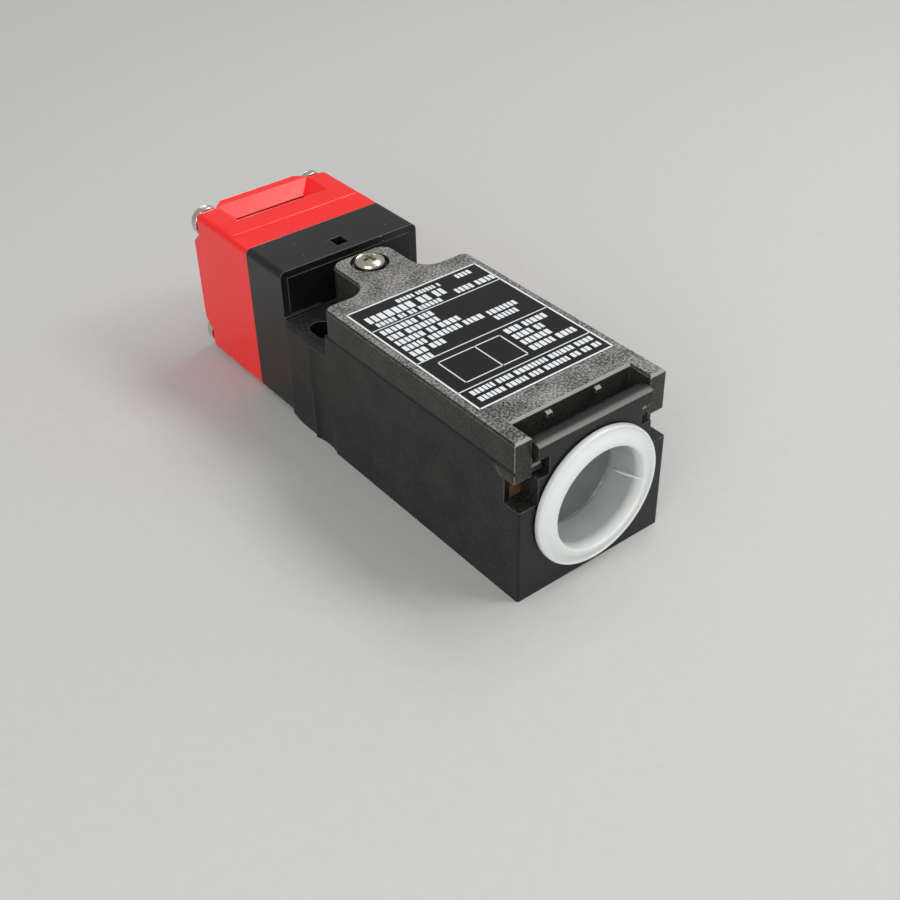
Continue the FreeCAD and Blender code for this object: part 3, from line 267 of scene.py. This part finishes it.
def acetal():
    """Natural acetal: a waxy off-white that lets a little light into its skin."""
    flow_mm, edge_mm, bite_mm = 2.5, 0.15, 0.01
    material, shader, here = plain("acetal_natural", "#dcd9cc", 0.32, 1.48)
    shader.inputs["Subsurface Weight"].default_value = 0.15
    shader.inputs["Subsurface Scale"].default_value = MM
    flow = add(material, "TexNoise", {"Vector": here, "Scale": 1 / (flow_mm * MM), "Detail": 3.0})
    shown = add(material, "MapRange", {VALUE: flow, FROM_LOW: 0.35, FROM_HIGH: 0.7})
    skin = add(material, "Mix", {SHARE: shown, COLOUR_A: "#dfdccf", COLOUR_B: "#cbc6b4"},
               COLOUR_OUT, data_type="RGBA")
    soft = add(material, "Bevel", {"Radius": edge_mm * MM}, samples=6)
    bump = add(material, "Bump", {"Height": flow, "Distance": bite_mm * MM, "Normal": soft})
    rough = add(material, "MapRange", {VALUE: flow, FROM_LOW: 0.3, FROM_HIGH: 0.7, TO_LOW: 0.26,
                                       TO_HIGH: 0.4})
    drive(material, shader, Base_Color=skin, Normal=bump, Roughness=rough)
    return material


dress(acetal(), "contact_slider", "plunger", "key_cam")

# ---- Terminals, bridges, springs and shaft -----------------------------------------------
# The terminals are stamped from brass strip and the bridges from copper strip with silver tips.
# The springs are wound from steel wire, and the cam turns on a ground steel pin.


def drawn_metal(name, base, tint, rough, along):
    """Bare metal with fine lines along the way it was rolled, drawn or ground."""
    line_mm, edge_mm, bite_mm = 0.12, 0.08, 0.004
    material, shader, here = plain(name, base, rough, metal=1.0)
    run = add(material, "Mapping", {"Vector": here, "Scale": along})
    lines = add(material, "TexNoise", {"Vector": run, "Scale": 1 / (line_mm * MM), "Detail": 3.0})
    shown = add(material, "MapRange", {VALUE: lines, FROM_LOW: 0.35, FROM_HIGH: 0.7})
    skin = add(material, "Mix", {SHARE: shown, COLOUR_A: base, COLOUR_B: tint}, COLOUR_OUT,
               data_type="RGBA")
    soft = add(material, "Bevel", {"Radius": edge_mm * MM}, samples=6)
    bump = add(material, "Bump", {"Height": lines, "Distance": bite_mm * MM, "Normal": soft})
    gloss = add(material, "MapRange", {VALUE: lines, FROM_LOW: 0.3, FROM_HIGH: 0.7,
                                       TO_LOW: 0.8 * rough, TO_HIGH: 1.3 * rough})
    drive(material, shader, Base_Color=skin, Normal=bump, Roughness=gloss)
    return material


ALONG_Y, ALONG_X, EVEN = (1, 0.1, 1), (0.1, 1, 1), (1, 1, 1)
dress(drawn_metal("brass_strip", "#c9a357", "#b48d45", 0.3, ALONG_Y), "cover_insert",
      "nc_terminal_right", "nc_terminal_left", "no_terminal_right", "no_terminal_left")
dress(drawn_metal("copper_strip_silver_tips", "#c08a66", "#a97553", 0.3, ALONG_X),
      "nc_bridge", "no_bridge")
dress(drawn_metal("steel_spring_wire", "#8e8e8f", "#777778", 0.35, EVEN),
      "nc_spring", "no_spring", "return_spring")
dress(drawn_metal("ground_steel_pin", "#b8b8b6", "#a4a4a2", 0.2, ALONG_X), "cam_shaft")

# ---- Terminal screws ---------------------------------------------------------------------
# Four M3 screws, each with a captive square washer that clamps a wire to its brass plate.
# They are cold headed and rolled from steel wire, then plated with bright nickel.


def nickel_plate():
    """Bright nickel over steel: clear reflections, a warm cast and faint handling marks."""
    mark_mm, bite_mm = 0.5, 0.012
    material, shader, here = plain("nickel_plated_steel", "#d9d3c4", 0.24, metal=1.0)
    marks = add(material, "TexNoise", {"Vector": here, "Scale": 1 / (mark_mm * MM), "Detail": 5.0,
                                       "Roughness": 0.7})
    shown = add(material, "MapRange", {VALUE: marks, FROM_LOW: 0.4, FROM_HIGH: 0.7})
    skin = add(material, "Mix", {SHARE: shown, COLOUR_A: "#ded8c8", COLOUR_B: "#b5ad9b"},
               COLOUR_OUT, data_type="RGBA")
    bump = add(material, "Bump", {"Height": marks, "Distance": bite_mm * MM})
    rough = add(material, "MapRange", {VALUE: marks, FROM_LOW: 0.3, FROM_HIGH: 0.7, TO_LOW: 0.16,
                                       TO_HIGH: 0.36})
    drive(material, shader, Base_Color=skin, Normal=bump, Roughness=rough)
    return material


def only(piece):
    """Makes one piece the selected and active one."""
    bpy.ops.object.select_all(action="DESELECT")
    piece.select_set(True)
    bpy.context.view_layer.objects.active = piece


def apply_all(piece):
    """Applies each of a piece's modifiers in turn."""
    only(piece)
    for modifier in list(piece.modifiers):
        bpy.ops.object.modifier_apply(modifier=modifier.name)


def joined(pieces):
    """One piece from several."""
    only(pieces[0])
    for piece in pieces[1:]:
        piece.select_set(True)
    bpy.ops.object.join()
    return pieces[0]


def placed(piece, at, turn=(0, 0, 0)):
    """Turns a piece drawn in millimetres, brings it to a point in metres and settles it there."""
    only(piece)
    piece.scale = (MM, MM, MM)
    piece.rotation_euler = turn
    piece.location = at
    bpy.ops.object.transform_apply(location=True, rotation=True, scale=True)
    return piece


def turned(name, rings, sides):
    """A shape drawn out ring by ring along Z from (radius, height) steps, closed at both ends."""
    radius, height = rings[0]
    bpy.ops.mesh.primitive_circle_add(vertices=sides, radius=radius, fill_type="NGON",
                                      location=(0, 0, height))
    piece = bpy.context.object
    piece.name = piece.data.name = name
    bpy.ops.object.transform_apply(location=True)
    bpy.ops.object.mode_set(mode="EDIT")
    bpy.ops.mesh.select_all(action="SELECT")
    for wider, higher in rings[1:]:
        bpy.ops.mesh.extrude_region_move()
        bpy.ops.transform.resize(value=(wider / radius, wider / radius, 1),
                                 center_override=(0, 0, height))
        bpy.ops.transform.translate(value=(0, 0, higher - height))
        radius, height = wider, higher
    bpy.ops.mesh.select_all(action="SELECT")
    bpy.ops.mesh.normals_make_consistent(inside=False)
    bpy.ops.object.mode_set(mode="OBJECT")
    return piece


def block(name, size, at, bevel=0.0):
    """A block with softened edges."""
    bpy.ops.mesh.primitive_cube_add(size=1, location=at)
    piece = bpy.context.object
    piece.name = piece.data.name = name
    piece.scale = size
    bpy.ops.object.transform_apply(location=True, scale=True)
    if bevel:
        bpy.ops.object.mode_set(mode="EDIT")
        bpy.ops.mesh.select_all(action="SELECT")
        bpy.ops.mesh.bevel(offset=bevel, segments=2)
        bpy.ops.object.mode_set(mode="OBJECT")
    return piece


def cross_cutter(span, width, depth, top):
    """Two crossed wedges, narrower at the point, as the heading punch leaves them."""
    above, taper = 1, 0.5                    # how far they stand out of the head, and their point
    arms = []
    for size in ((span, width), (width, span)):
        arm = block("recess", size + (depth + above,), (0, 0, top - depth / 2 + above / 2))
        for corner in arm.data.vertices:
            if corner.co.z < top:
                corner.co.x *= taper
                corner.co.y *= taper
        arms.append(arm)
    return joined(arms)


def machine_screw(name, head, shank_r, length, pitch, at, turn=(0, 0, 0)):
    """A headed and thread-rolled screw, its seat at a point and its head along +Z until turned.
    head gives the head's radius and height, and the dome's share of that height."""
    sides, turn_steps, smooth_to = 48, 24, math.radians(35)
    chamfer, point = 0.12, 0.2
    head_r, head_h, dome = head
    crown = head_h - dome
    root = shank_r - 0.55 * pitch
    screw = turned(name, [(root * 0.8, -length), (root, point - length), (root, 0.0),
                          (head_r - chamfer, 0.0), (head_r, chamfer), (head_r, crown),
                          (head_r * 0.95, crown + dome * 0.45), (head_r * 0.8, crown + dome * 0.8),
                          (head_r * 0.5, head_h)], sides)
    cutter = cross_cutter(head_r * 1.35, head_r * 0.3, min(head_h * 0.65, 1.4), head_h)
    recess = screw.modifiers.new("recess", "BOOLEAN")
    recess.operation, recess.solver, recess.use_self = "DIFFERENCE", "EXACT", True
    recess.object = cutter
    apply_all(screw)
    bpy.data.objects.remove(cutter)
    # the thread's ridge: one triangle, sunk a little into the shank and wound up it
    sunk, bare_end = 0.05, 0.3
    bpy.ops.mesh.primitive_circle_add(vertices=3, radius=1, location=(0, 0, 0))
    ridge = bpy.context.object
    for corner, reach, rise in zip(ridge.data.vertices, (root - sunk, shank_r, root - sunk),
                                   (0.05, 0.5, 0.95)):
        corner.co = (reach, 0, rise * pitch - length + bare_end)
    wound = ridge.modifiers.new("thread", "SCREW")
    wound.screw_offset, wound.steps, wound.render_steps = pitch, turn_steps, turn_steps
    wound.iterations = int((length - 2 * bare_end) / pitch) - 1
    apply_all(ridge)
    bpy.ops.object.mode_set(mode="EDIT")
    bpy.ops.mesh.select_all(action="SELECT")
    bpy.ops.mesh.normals_make_consistent(inside=False)
    bpy.ops.object.mode_set(mode="OBJECT")
    screw = joined([screw, ridge])
    screw.data.materials.append(nickel)
    bpy.ops.object.shade_smooth_by_angle(angle=smooth_to)
    return placed(screw, at, turn)


nickel = nickel_plate()
low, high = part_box("terminal_screws")
M3_PITCH = 0.5
M3_PAN = (2.7, 2.0, 0.7)
TERMINAL_SHANK = (1.6, 6.0)          # radius and length
WASHER = (5.2, 5.2, 0.9)
WASHER_EDGE = 0.1
seat = high.z - M3_PAN[1] * MM
clamped = []
for x in (low.x + M3_PAN[0] * MM, high.x - M3_PAN[0] * MM):
    for y in (low.y + M3_PAN[0] * MM, high.y - M3_PAN[0] * MM):
        clamped.append(machine_screw("terminal_screw", M3_PAN, *TERMINAL_SHANK, M3_PITCH,
                                     (x, y, seat)))
        washer = block("washer", WASHER, (0, 0, -WASHER[2] / 2), WASHER_EDGE)
        washer.data.materials.append(nickel)
        clamped.append(placed(washer, (x, y, seat)))
clamped = joined(clamped)
clamped.name = "terminal_screw_set"
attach(clamped, "housing")
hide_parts("terminal_screws")

# ---- Conduit plug ------------------------------------------------------------------------
# A thin cup of natural low-density polyethylene, pressed into the conduit entry to keep dust
# out until a gland is fitted. Its rim is ringed and its flow line shows inside.


def polyethylene(name, thick, thin, mouth_y):
    """Natural LDPE: milky and bluish where it is thick, and clear enough in the cup's thin wall
    to show the dark inside of the housing. Both amounts are shares of light let through."""
    cloud_mm, grain_mm, bite_mm = 2.5, 0.3, 0.02
    lip_mm, wall_mm = 1.0, 2.6               # depths behind the mouth between which it thins
    near_end_mm, end_mm = 6.8, 7.3           # depths where the cup's end begins
    through_end = 0.86
    material, shader, here = plain(name, "#eef2f2", 0.3, 1.51)
    shader.inputs["Subsurface Weight"].default_value = 0.3
    shader.inputs["Subsurface Scale"].default_value = MM
    shader.inputs["Subsurface Radius"].default_value = (0.8, 0.9, 1.0)
    depth = add(material, "SeparateXYZ", {0: here}, "Y")
    wall = add(material, "MapRange", {VALUE: depth, FROM_LOW: mouth_y + lip_mm * MM,
                                      FROM_HIGH: mouth_y + wall_mm * MM,
                                      TO_LOW: thick, TO_HIGH: thin})
    end = add(material, "MapRange", {VALUE: depth, FROM_LOW: mouth_y + near_end_mm * MM,
                                     FROM_HIGH: mouth_y + end_mm * MM})
    wall = add(material, "Mix", {"Factor": end, "A": wall, "B": through_end})
    cloud = add(material, "TexNoise", {"Vector": here, "Scale": 1 / (cloud_mm * MM), "Detail": 2.0})
    grain = add(material, "TexNoise", {"Vector": here, "Scale": 1 / (grain_mm * MM), "Detail": 2.0})
    tint = add(material, "MapRange", {VALUE: cloud, FROM_LOW: 0.35, FROM_HIGH: 0.7})
    skin = add(material, "Mix", {SHARE: tint, COLOUR_A: "#ebf2f4", COLOUR_B: "#f3f3ec"},
               COLOUR_OUT, data_type="RGBA")
    bump = add(material, "Bump", {"Height": grain, "Distance": bite_mm * MM})
    rough = add(material, "MapRange", {VALUE: end, TO_LOW: 0.3, TO_HIGH: 0.12})
    drive(material, shader, Base_Color=skin, Transmission_Weight=wall, Normal=bump, Roughness=rough)
    return material


low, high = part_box("conduit_plug")
FLANGE_R = (high.x - low.x) / 2 / MM
FLANGE_DEPTH = 2.2
CUP_R, BORE_R = 9.15, 8.9            # the cup's outside behind the flange, and its mouth
CUP_SIDES, CUP_SMOOTH_TO = 96, math.radians(40)
CONDUIT_FACE = low.y + FLANGE_DEPTH * MM    # the flange's back lies on the housing's end face
axis_z = (low.z + high.z) / 2
# from the cup's outer end, along its outside to the flange, over the rim and down the inside
plug = turned("conduit_cup", [(8.4, -6.3), (8.95, -6.15), (9.12, -5.7), (CUP_R, 0.05),
                              (FLANGE_R - 0.25, 0.05), (FLANGE_R, 0.25), (FLANGE_R, 1.0),
                              (FLANGE_R - 0.12, 1.24), (FLANGE_R - 0.3, 1.27),
                              (FLANGE_R - 0.45, 1.12), (10.6, 1.42), (10.45, 1.6), (10.1, 1.74),
                              (9.7, 1.84), (9.3, 1.92), (9.1, 1.9), (8.97, 1.78), (BORE_R, 1.5),
                              (8.2, -4.7), (7.9, -5.15), (7.3, -5.3)], CUP_SIDES)
bpy.ops.object.shade_smooth_by_angle(angle=CUP_SMOOTH_TO)
plug = placed(plug, (0, CONDUIT_FACE, axis_z), (math.pi / 2, 0, 0))
# the flow line: a low ridge where the melt met on the cup's wall, widest near its middle
FLOW_LINE = (0.6, 0.3, 5.0)
FLOW_MIDDLE = -1.0                   # along the cup, from the housing's end face
FLOW_AT_R, FLOW_LEAN, FLOW_BEND = 8.45, 0.11, 0.5
FLOW_TURN = math.radians(8)
ridge = block("flow_line", FLOW_LINE, (0, 0, FLOW_MIDDLE))
bpy.ops.object.mode_set(mode="EDIT")
bpy.ops.mesh.select_all(action="SELECT")
bpy.ops.mesh.subdivide(number_cuts=7)
bpy.ops.object.mode_set(mode="OBJECT")
for corner in ridge.data.vertices:
    along = (corner.co.z - FLOW_MIDDLE) / (FLOW_LINE[2] / 2)
    corner.co.x *= 0.25 + math.cos(along * math.pi / 2)
    corner.co.x += FLOW_AT_R + FLOW_LEAN * corner.co.z
    corner.co.y += FLOW_BEND * along
bpy.ops.object.shade_smooth()
ridge = placed(ridge, (0, CONDUIT_FACE, axis_z), (math.pi / 2, FLOW_TURN, 0))
plug.data.materials.append(polyethylene("ldpe_natural", 0.12, 0.68, low.y))
ridge.data.materials.append(polyethylene("ldpe_natural_thick", 0.0, 0.1, low.y))
plug = joined([plug, ridge])
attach(plug, "plug")
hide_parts("conduit_plug")

# ---- Cover -------------------------------------------------------------------------------
# The lid over the wiring space, moulded in the same glass-filled PBT from a spark-eroded mould,
# so its top is rougher than the housing; its paler top is a painted sheen.
# It hooks under the lip; one screw holds it.

# only its top keeps the pale grain, a painted sheen: the skirt and the ears' faces draw straight
# out of the mould and are left dark
PLAIN_SKIRT = ((0, 0, 1), 0.96, 0.7, 0.42)
# the pale colour is the top's painted sheen; the third colour paints the edges paler: handling wear
# and a painted highlight
dress(glass_filled_pbt("glass_filled_pbt_cover", "#1b1b1a", "#acaaa3", "#b9b6ac", 0.8, 0.22,
                       PLAIN_SKIRT, SEAM), "front_cover")

# ---- Rating plate ------------------------------------------------------------------------
# A smooth black polyester label in the middle of the cover, printed with a white frame, ruled
# divisions and rows of plain bars where a maker would print the ratings.


def label_film():
    """Polyester film: smooth and faintly glossy over the cover's grain."""
    ripple_mm, bite_mm = 3.0, 0.02
    material, shader, here = plain("polyester_label_black", "#0b0b0c", 0.3, 1.6)
    shader.inputs["Specular IOR Level"].default_value = 0.25
    ripple = add(material, "TexNoise", {"Vector": here, "Scale": 1 / (ripple_mm * MM),
                                        "Detail": 2.0})
    skin = add(material, "Mix", {SHARE: ripple, COLOUR_A: "#09090a", COLOUR_B: "#101011"},
               COLOUR_OUT, data_type="RGBA")
    bump = add(material, "Bump", {"Height": ripple, "Distance": bite_mm * MM})
    rough = add(material, "MapRange", {VALUE: ripple, FROM_LOW: 0.3, FROM_HIGH: 0.7, TO_LOW: 0.26,
                                       TO_HIGH: 0.38})
    drive(material, shader, Base_Color=skin, Normal=bump, Roughness=rough)
    return material


def print_white():
    """Screen-printed ink: flat white, a little thin where the screen's mesh held it back."""
    mesh_mm = 0.2
    material, shader, here = plain("printing_ink_white", "#e9ebec", 0.5)
    weave = add(material, "TexNoise", {"Vector": here, "Scale": 1 / (mesh_mm * MM), "Detail": 2.0})
    thin = add(material, "MapRange", {VALUE: weave, FROM_LOW: 0.55, FROM_HIGH: 0.75})
    skin = add(material, "Mix", {SHARE: thin, COLOUR_A: "#e9eced", COLOUR_B: "#cdd2d4"},
               COLOUR_OUT, data_type="RGBA")
    drive(material, shader, Base_Color=skin)
    return material


low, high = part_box("front_cover")
LABEL = (26.95, 34.2)
LABEL_FROM_EARS = 9.6
FILM, FILM_EDGE = 0.1, 0.03
INK_HEIGHT = FILM + 0.005
centre = ((low.x + high.x) / 2, low.y + (LABEL_FROM_EARS + LABEL[1] / 2) * MM, high.z)
film = block("rating_plate", LABEL + (FILM,), (0, 0, FILM / 2), FILM_EDGE)
film.data.materials.append(label_film())
placed(film, centre)

# what is printed, in millimetres from the label's middle: start, end, middle and height
LINE, RULE = 0.34, 0.22
half_x, half_y = LABEL[0] / 2 - LINE / 2, LABEL[1] / 2 - LINE / 2
strokes = [(-half_x, half_x, side * half_y, LINE) for side in (-1, 1)]
strokes += [(side * half_x - LINE / 2, side * half_x + LINE / 2, 0, LABEL[1]) for side in (-1, 1)]
strokes += [(-half_x, half_x, y, RULE) for y in (10.1, -1.75, -11.8)]
# the empty box in the lower panel, and the rule down its middle
strokes += [(-10.6, 1.9, y, RULE) for y in (-3.4, -10.3)]
strokes += [(x, x + RULE, -6.85, 7.1) for x in (-10.6, -3.4, 1.68)]
rows = [(-4.5, 4.0, 15.3, 1.1), (-11.9, 3.6, 13.2, 2.0), (-11.4, 1.6, 11.2, 1.2),
        (5.0, 12.6, 11.6, 1.5), (8.0, 10.6, 15.4, 1.3)]
upper_left = (-2.0, -3.0, 1.0, 3.4, -6.4, -9.2)      # where the rows of each group end
upper_right, lower_right = (9.6, 10.2), (10.8, 9.2, 8.0, 12.4)
rows += [(-12.2, end, 8.8 - 1.95 * row, 1.45) for row, end in enumerate(upper_left)]
rows += [(4.6, end, 0.9 + 1.9 * row, 1.35) for row, end in enumerate(upper_right)]
rows += [(3.1, end, -3.3 - 2.05 * row, 1.45) for row, end in enumerate(lower_right)]
rows += [(-11.8, 12.0, -13.1, 1.2), (-11.8, 12.4, -15.0, 1.2)]
printed = []
for start, end, y, height in strokes:
    bpy.ops.mesh.primitive_plane_add(size=1, location=((start + end) / 2, y, INK_HEIGHT))
    stroke = bpy.context.object
    stroke.scale = (end - start, height, 1)
    bpy.ops.object.transform_apply(location=True, scale=True)
    printed.append(stroke)
# each row is one strip cut into upright marks, with every other piece of the strip taken out;
# widths and gaps are shares of the row's height, and a wider gap ends each group of marks
MARK_LEAST, MARK_MOST, GAP, WIDE_GAP = 0.38, 0.62, 0.17, 0.55
random.seed(7)
for start, end, y, height in rows:
    ticks, at, left_in_group = [], start, random.randint(3, 7)
    while at < end:
        ticks += [at, at + height * random.uniform(MARK_LEAST, MARK_MOST)]
        left_in_group -= 1
        at = ticks[-1] + height * (GAP if left_in_group else WIDE_GAP)
        left_in_group = left_in_group or random.randint(2, 8)
    bpy.ops.mesh.primitive_grid_add(x_subdivisions=len(ticks) - 1, y_subdivisions=1, size=1,
                                    location=(0, y, INK_HEIGHT))
    strip = bpy.context.object
    strip.scale.y = height
    bpy.ops.object.transform_apply(location=True, scale=True)
    for corner in strip.data.vertices:
        corner.co.x = ticks[round((corner.co.x + 0.5) * (len(ticks) - 1))]
    bpy.ops.object.mode_set(mode="EDIT")
    bpy.ops.mesh.select_mode(type="FACE")
    bpy.ops.mesh.select_all(action="DESELECT")
    bpy.ops.object.mode_set(mode="OBJECT")
    gaps = ticks[1::2]
    for face in strip.data.polygons:
        face.select = any(abs(min(strip.data.vertices[v].co.x for v in face.vertices) - gap) < 1e-4
                          for gap in gaps)
    bpy.ops.object.mode_set(mode="EDIT")
    bpy.ops.mesh.delete(type="FACE")
    bpy.ops.mesh.select_mode(type="VERT")
    bpy.ops.object.mode_set(mode="OBJECT")
    printed.append(strip)
ink = joined(printed)
ink.name = ink.data.name = "rating_plate_print"
ink.data.materials.append(print_white())
placed(ink, centre)
for piece, finish in ((film, "head_pbt"), (ink, "acetal")):
    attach(piece, "cover")

# ---- Cover screw -------------------------------------------------------------------------
# An M3 binding-head screw in the well of the cover's neck, turned into the post's brass bush.
low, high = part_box("cover_screw")
BINDING = (2.7, 2.1, 0.9)
COVER_SHANK = (1.5, 7.4)             # radius and length
CROSS_TURN = math.radians(12)        # how the driver left the cross
seat = Vector(((low.x + high.x) / 2, (low.y + high.y) / 2, high.z - BINDING[1] * MM))
cover_screw = machine_screw("cover_binding_screw", BINDING, *COVER_SHANK, M3_PITCH, seat,
                            (0, 0, CROSS_TURN))
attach(cover_screw, "cover")
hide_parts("cover_screw")

# ---- Head base ---------------------------------------------------------------------------
# The fixed half of the head, moulded in unfilled black PBT, so it is smooth and evenly satin.
# It slips over the housing's square flange and snaps under the small window in each side.


def satin_pbt(name, base, cloud_to, worn_and_highlight_colour, wear_and_highlight_share, rough, gloss, dust):
    """Unfilled polyester from a fine-etched mould: an even satin, with corners painted paler,
    partly rubbed wear and partly a painted highlight, and a few specks of dust that cling to it."""
    etch_mm, cloud_mm, speck_mm, edge_mm, bite_mm = 0.15, 9.0, 2.4, 0.3, 0.008
    inside_speck, round_speck = 0.034, 0.05  # distances from a speck's middle, in its cell
    material, shader, here = plain(name, base, rough, PBT_IOR)
    shader.inputs["Specular IOR Level"].default_value = gloss
    etch = add(material, "TexNoise", {"Vector": here, "Scale": 1 / (etch_mm * MM), "Detail": 2.0})
    cloud = add(material, "TexNoise", {"Vector": here, "Scale": 1 / (cloud_mm * MM), "Detail": 3.0})
    drift = add(material, "MapRange", {VALUE: cloud, FROM_LOW: 0.3, FROM_HIGH: 0.7})
    skin = add(material, "Mix", {SHARE: drift, COLOUR_A: base, COLOUR_B: cloud_to}, COLOUR_OUT,
               data_type="RGBA")
    soft, edge = worn_edges_and_painted_highlight(material, edge_mm)
    # corners painted paler: partly rubbed wear, partly a painted highlight along them
    wear_and_painted_highlight = add(material, "MapRange", {VALUE: edge, FROM_LOW: 0.2, FROM_HIGH: 1.0, TO_LOW: 0.0,
                                        TO_HIGH: wear_and_highlight_share})
    skin = add(material, "Mix", {SHARE: wear_and_painted_highlight, COLOUR_A: skin, COLOUR_B: worn_and_highlight_colour}, COLOUR_OUT,
               data_type="RGBA")
    cells = add(material, "TexVoronoi", {"Vector": here, "Scale": 1 / (speck_mm * MM),
                                         "Randomness": 1.0}, "Distance")
    specks = add(material, "MapRange", {VALUE: cells, FROM_LOW: round_speck,
                                        FROM_HIGH: inside_speck, TO_LOW: 0.0, TO_HIGH: dust})
    skin = add(material, "Mix", {SHARE: specks, COLOUR_A: skin, COLOUR_B: "#b9b8b4"}, COLOUR_OUT,
               data_type="RGBA")
    bump = add(material, "Bump", {"Height": etch, "Distance": bite_mm * MM, "Normal": soft})
    satin = add(material, "MapRange", {VALUE: cloud, FROM_LOW: 0.3, FROM_HIGH: 0.7,
                                       TO_LOW: rough - 0.05, TO_HIGH: rough + 0.06})
    drive(material, shader, Base_Color=skin, Normal=bump, Roughness=satin)
    return material


# the third colour paints the corners paler: rubbed wear and a painted highlight
dress(satin_pbt("satin_pbt_black", "#101111", "#181919", "#98988f", 0.3, 0.34, 0.35, 0.8),
      "head_base")

# ---- Head cap ----------------------------------------------------------------------------
# The half of the head that takes the key, moulded in signal-red PBT. It can be turned in
# quarter steps, and has a tapered mouth in its top and in its end.
# the third colour paints the corners paler: rubbed wear and a painted highlight
dress(satin_pbt("satin_pbt_red", "#ff1208", "#fb0f06", "#ff5a4c", 0.5, 0.23, 0.45, 0.0), "head_cap")

# ---- Head screws -------------------------------------------------------------------------
# Four long M3 pan-head screws run through the cap's corners into the head base.
low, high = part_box("head_screws")
M3_HEAD = (2.9, 2.3, 0.9)
LONG_SHANK = (1.5, 26.0)             # radius and length
inset = M3_HEAD[0] * MM
long_screws = []
for x in (low.x + inset, high.x - inset):
    for z in (low.z + inset, high.z - inset):
        seat = (x, high.y - M3_HEAD[1] * MM, z)
        long_screws.append(machine_screw("head_screw", M3_HEAD, *LONG_SHANK, M3_PITCH, seat,
                                         (-math.pi / 2, 0, 0)))
long_screws = joined(long_screws)
long_screws.name = "head_screw_set"
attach(long_screws, "housing")
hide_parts("head_screws")

# ---- Stage -------------------------------------------------------------------------------
# A plain pale table under soft light: panels on the right, overhead and by the camera, a low
# window behind, and an even surround. The camera looks down on the conduit end from the left.


def tabletop():
    """Matt painted board."""
    tooth_mm = 2.0
    material, shader, here = plain("painted_board", "#cbcbc8", 0.85, 1.45)
    tooth = add(material, "TexNoise", {"Vector": here, "Scale": 1 / (tooth_mm * MM), "Detail": 4.0})
    skin = add(material, "Mix", {SHARE: tooth, COLOUR_A: "#cdcdca", COLOUR_B: "#c7c7c4"},
               COLOUR_OUT, data_type="RGBA")
    drive(material, shader, Base_Color=skin)
    return material


TABLE = 6                            # metres
UNDER = 0.02 * MM                    # keeps the table's face off the housing's
bpy.ops.mesh.primitive_plane_add(size=TABLE, location=(0, 0, cad_box[0].z - UNDER))
table = bpy.context.object
table.name = "tabletop"
table.data.materials.append(tabletop())

# name, place, width, height and power: the key stands high on the right, the strip lights the
# upper faces, the fill reaches the left flank and the end face, and the window is low behind
LAMPS = (("key_panel", (0.29, -0.29, 0.44), 0.2, 0.2, 1.0),
         ("top_strip", (0.3, 0.02, 0.52), 0.36, 0.18, 0.9),
         ("fill_panel", (-0.45, -0.38, 0.33), 0.5, 0.5, 2.2),
         ("back_window", (0.3, 0.9, 0.1), 0.2, 0.2, 0.8))
for name, at, wide, high, power in LAMPS:
    bpy.ops.object.light_add(type="AREA", location=at)
    lamp = bpy.context.object
    lamp.name = name
    lamp.data.shape = "RECTANGLE"
    lamp.data.size, lamp.data.size_y, lamp.data.energy = wide, high, power
    lamp.rotation_euler = (-Vector(at)).to_track_quat("-Z", "Y").to_euler()

SURROUND_STRENGTH = 0.45
world = bpy.data.worlds.new("surround")
bpy.context.scene.world = world
world.use_nodes = True
surround = world.node_tree.nodes["Background"]
surround.inputs["Color"].default_value = linear("#f2f3f5")
surround.inputs["Strength"].default_value = SURROUND_STRENGTH

AZIMUTH, ELEVATION, ROLL = (math.radians(a) for a in (-37.573, 37.275, -1.253))
EYE = Vector((-108.81, -152.29, 137.05)) * MM
LENS, SENSOR = 51.206, 36.0          # millimetres
NEAREST, FARTHEST = 0.01, 20.0       # metres
back = Vector((math.sin(AZIMUTH) * math.cos(ELEVATION), -math.cos(AZIMUTH) * math.cos(ELEVATION),
               math.sin(ELEVATION)))
side = Vector((0, 0, 1)).cross(back).normalized()
over = back.cross(side)
right = side * math.cos(ROLL) + over * math.sin(ROLL)
upward = over * math.cos(ROLL) - side * math.sin(ROLL)
bpy.ops.object.camera_add(location=EYE)
camera = bpy.context.object
camera.data.lens, camera.data.sensor_width = LENS, SENSOR
camera.data.clip_start, camera.data.clip_end = NEAREST, FARTHEST
turn = Matrix((right, upward, back)).transposed()
camera.rotation_euler = turn.to_euler()
bpy.context.scene.camera = camera
bpy.context.scene.view_settings.view_transform = "Standard"
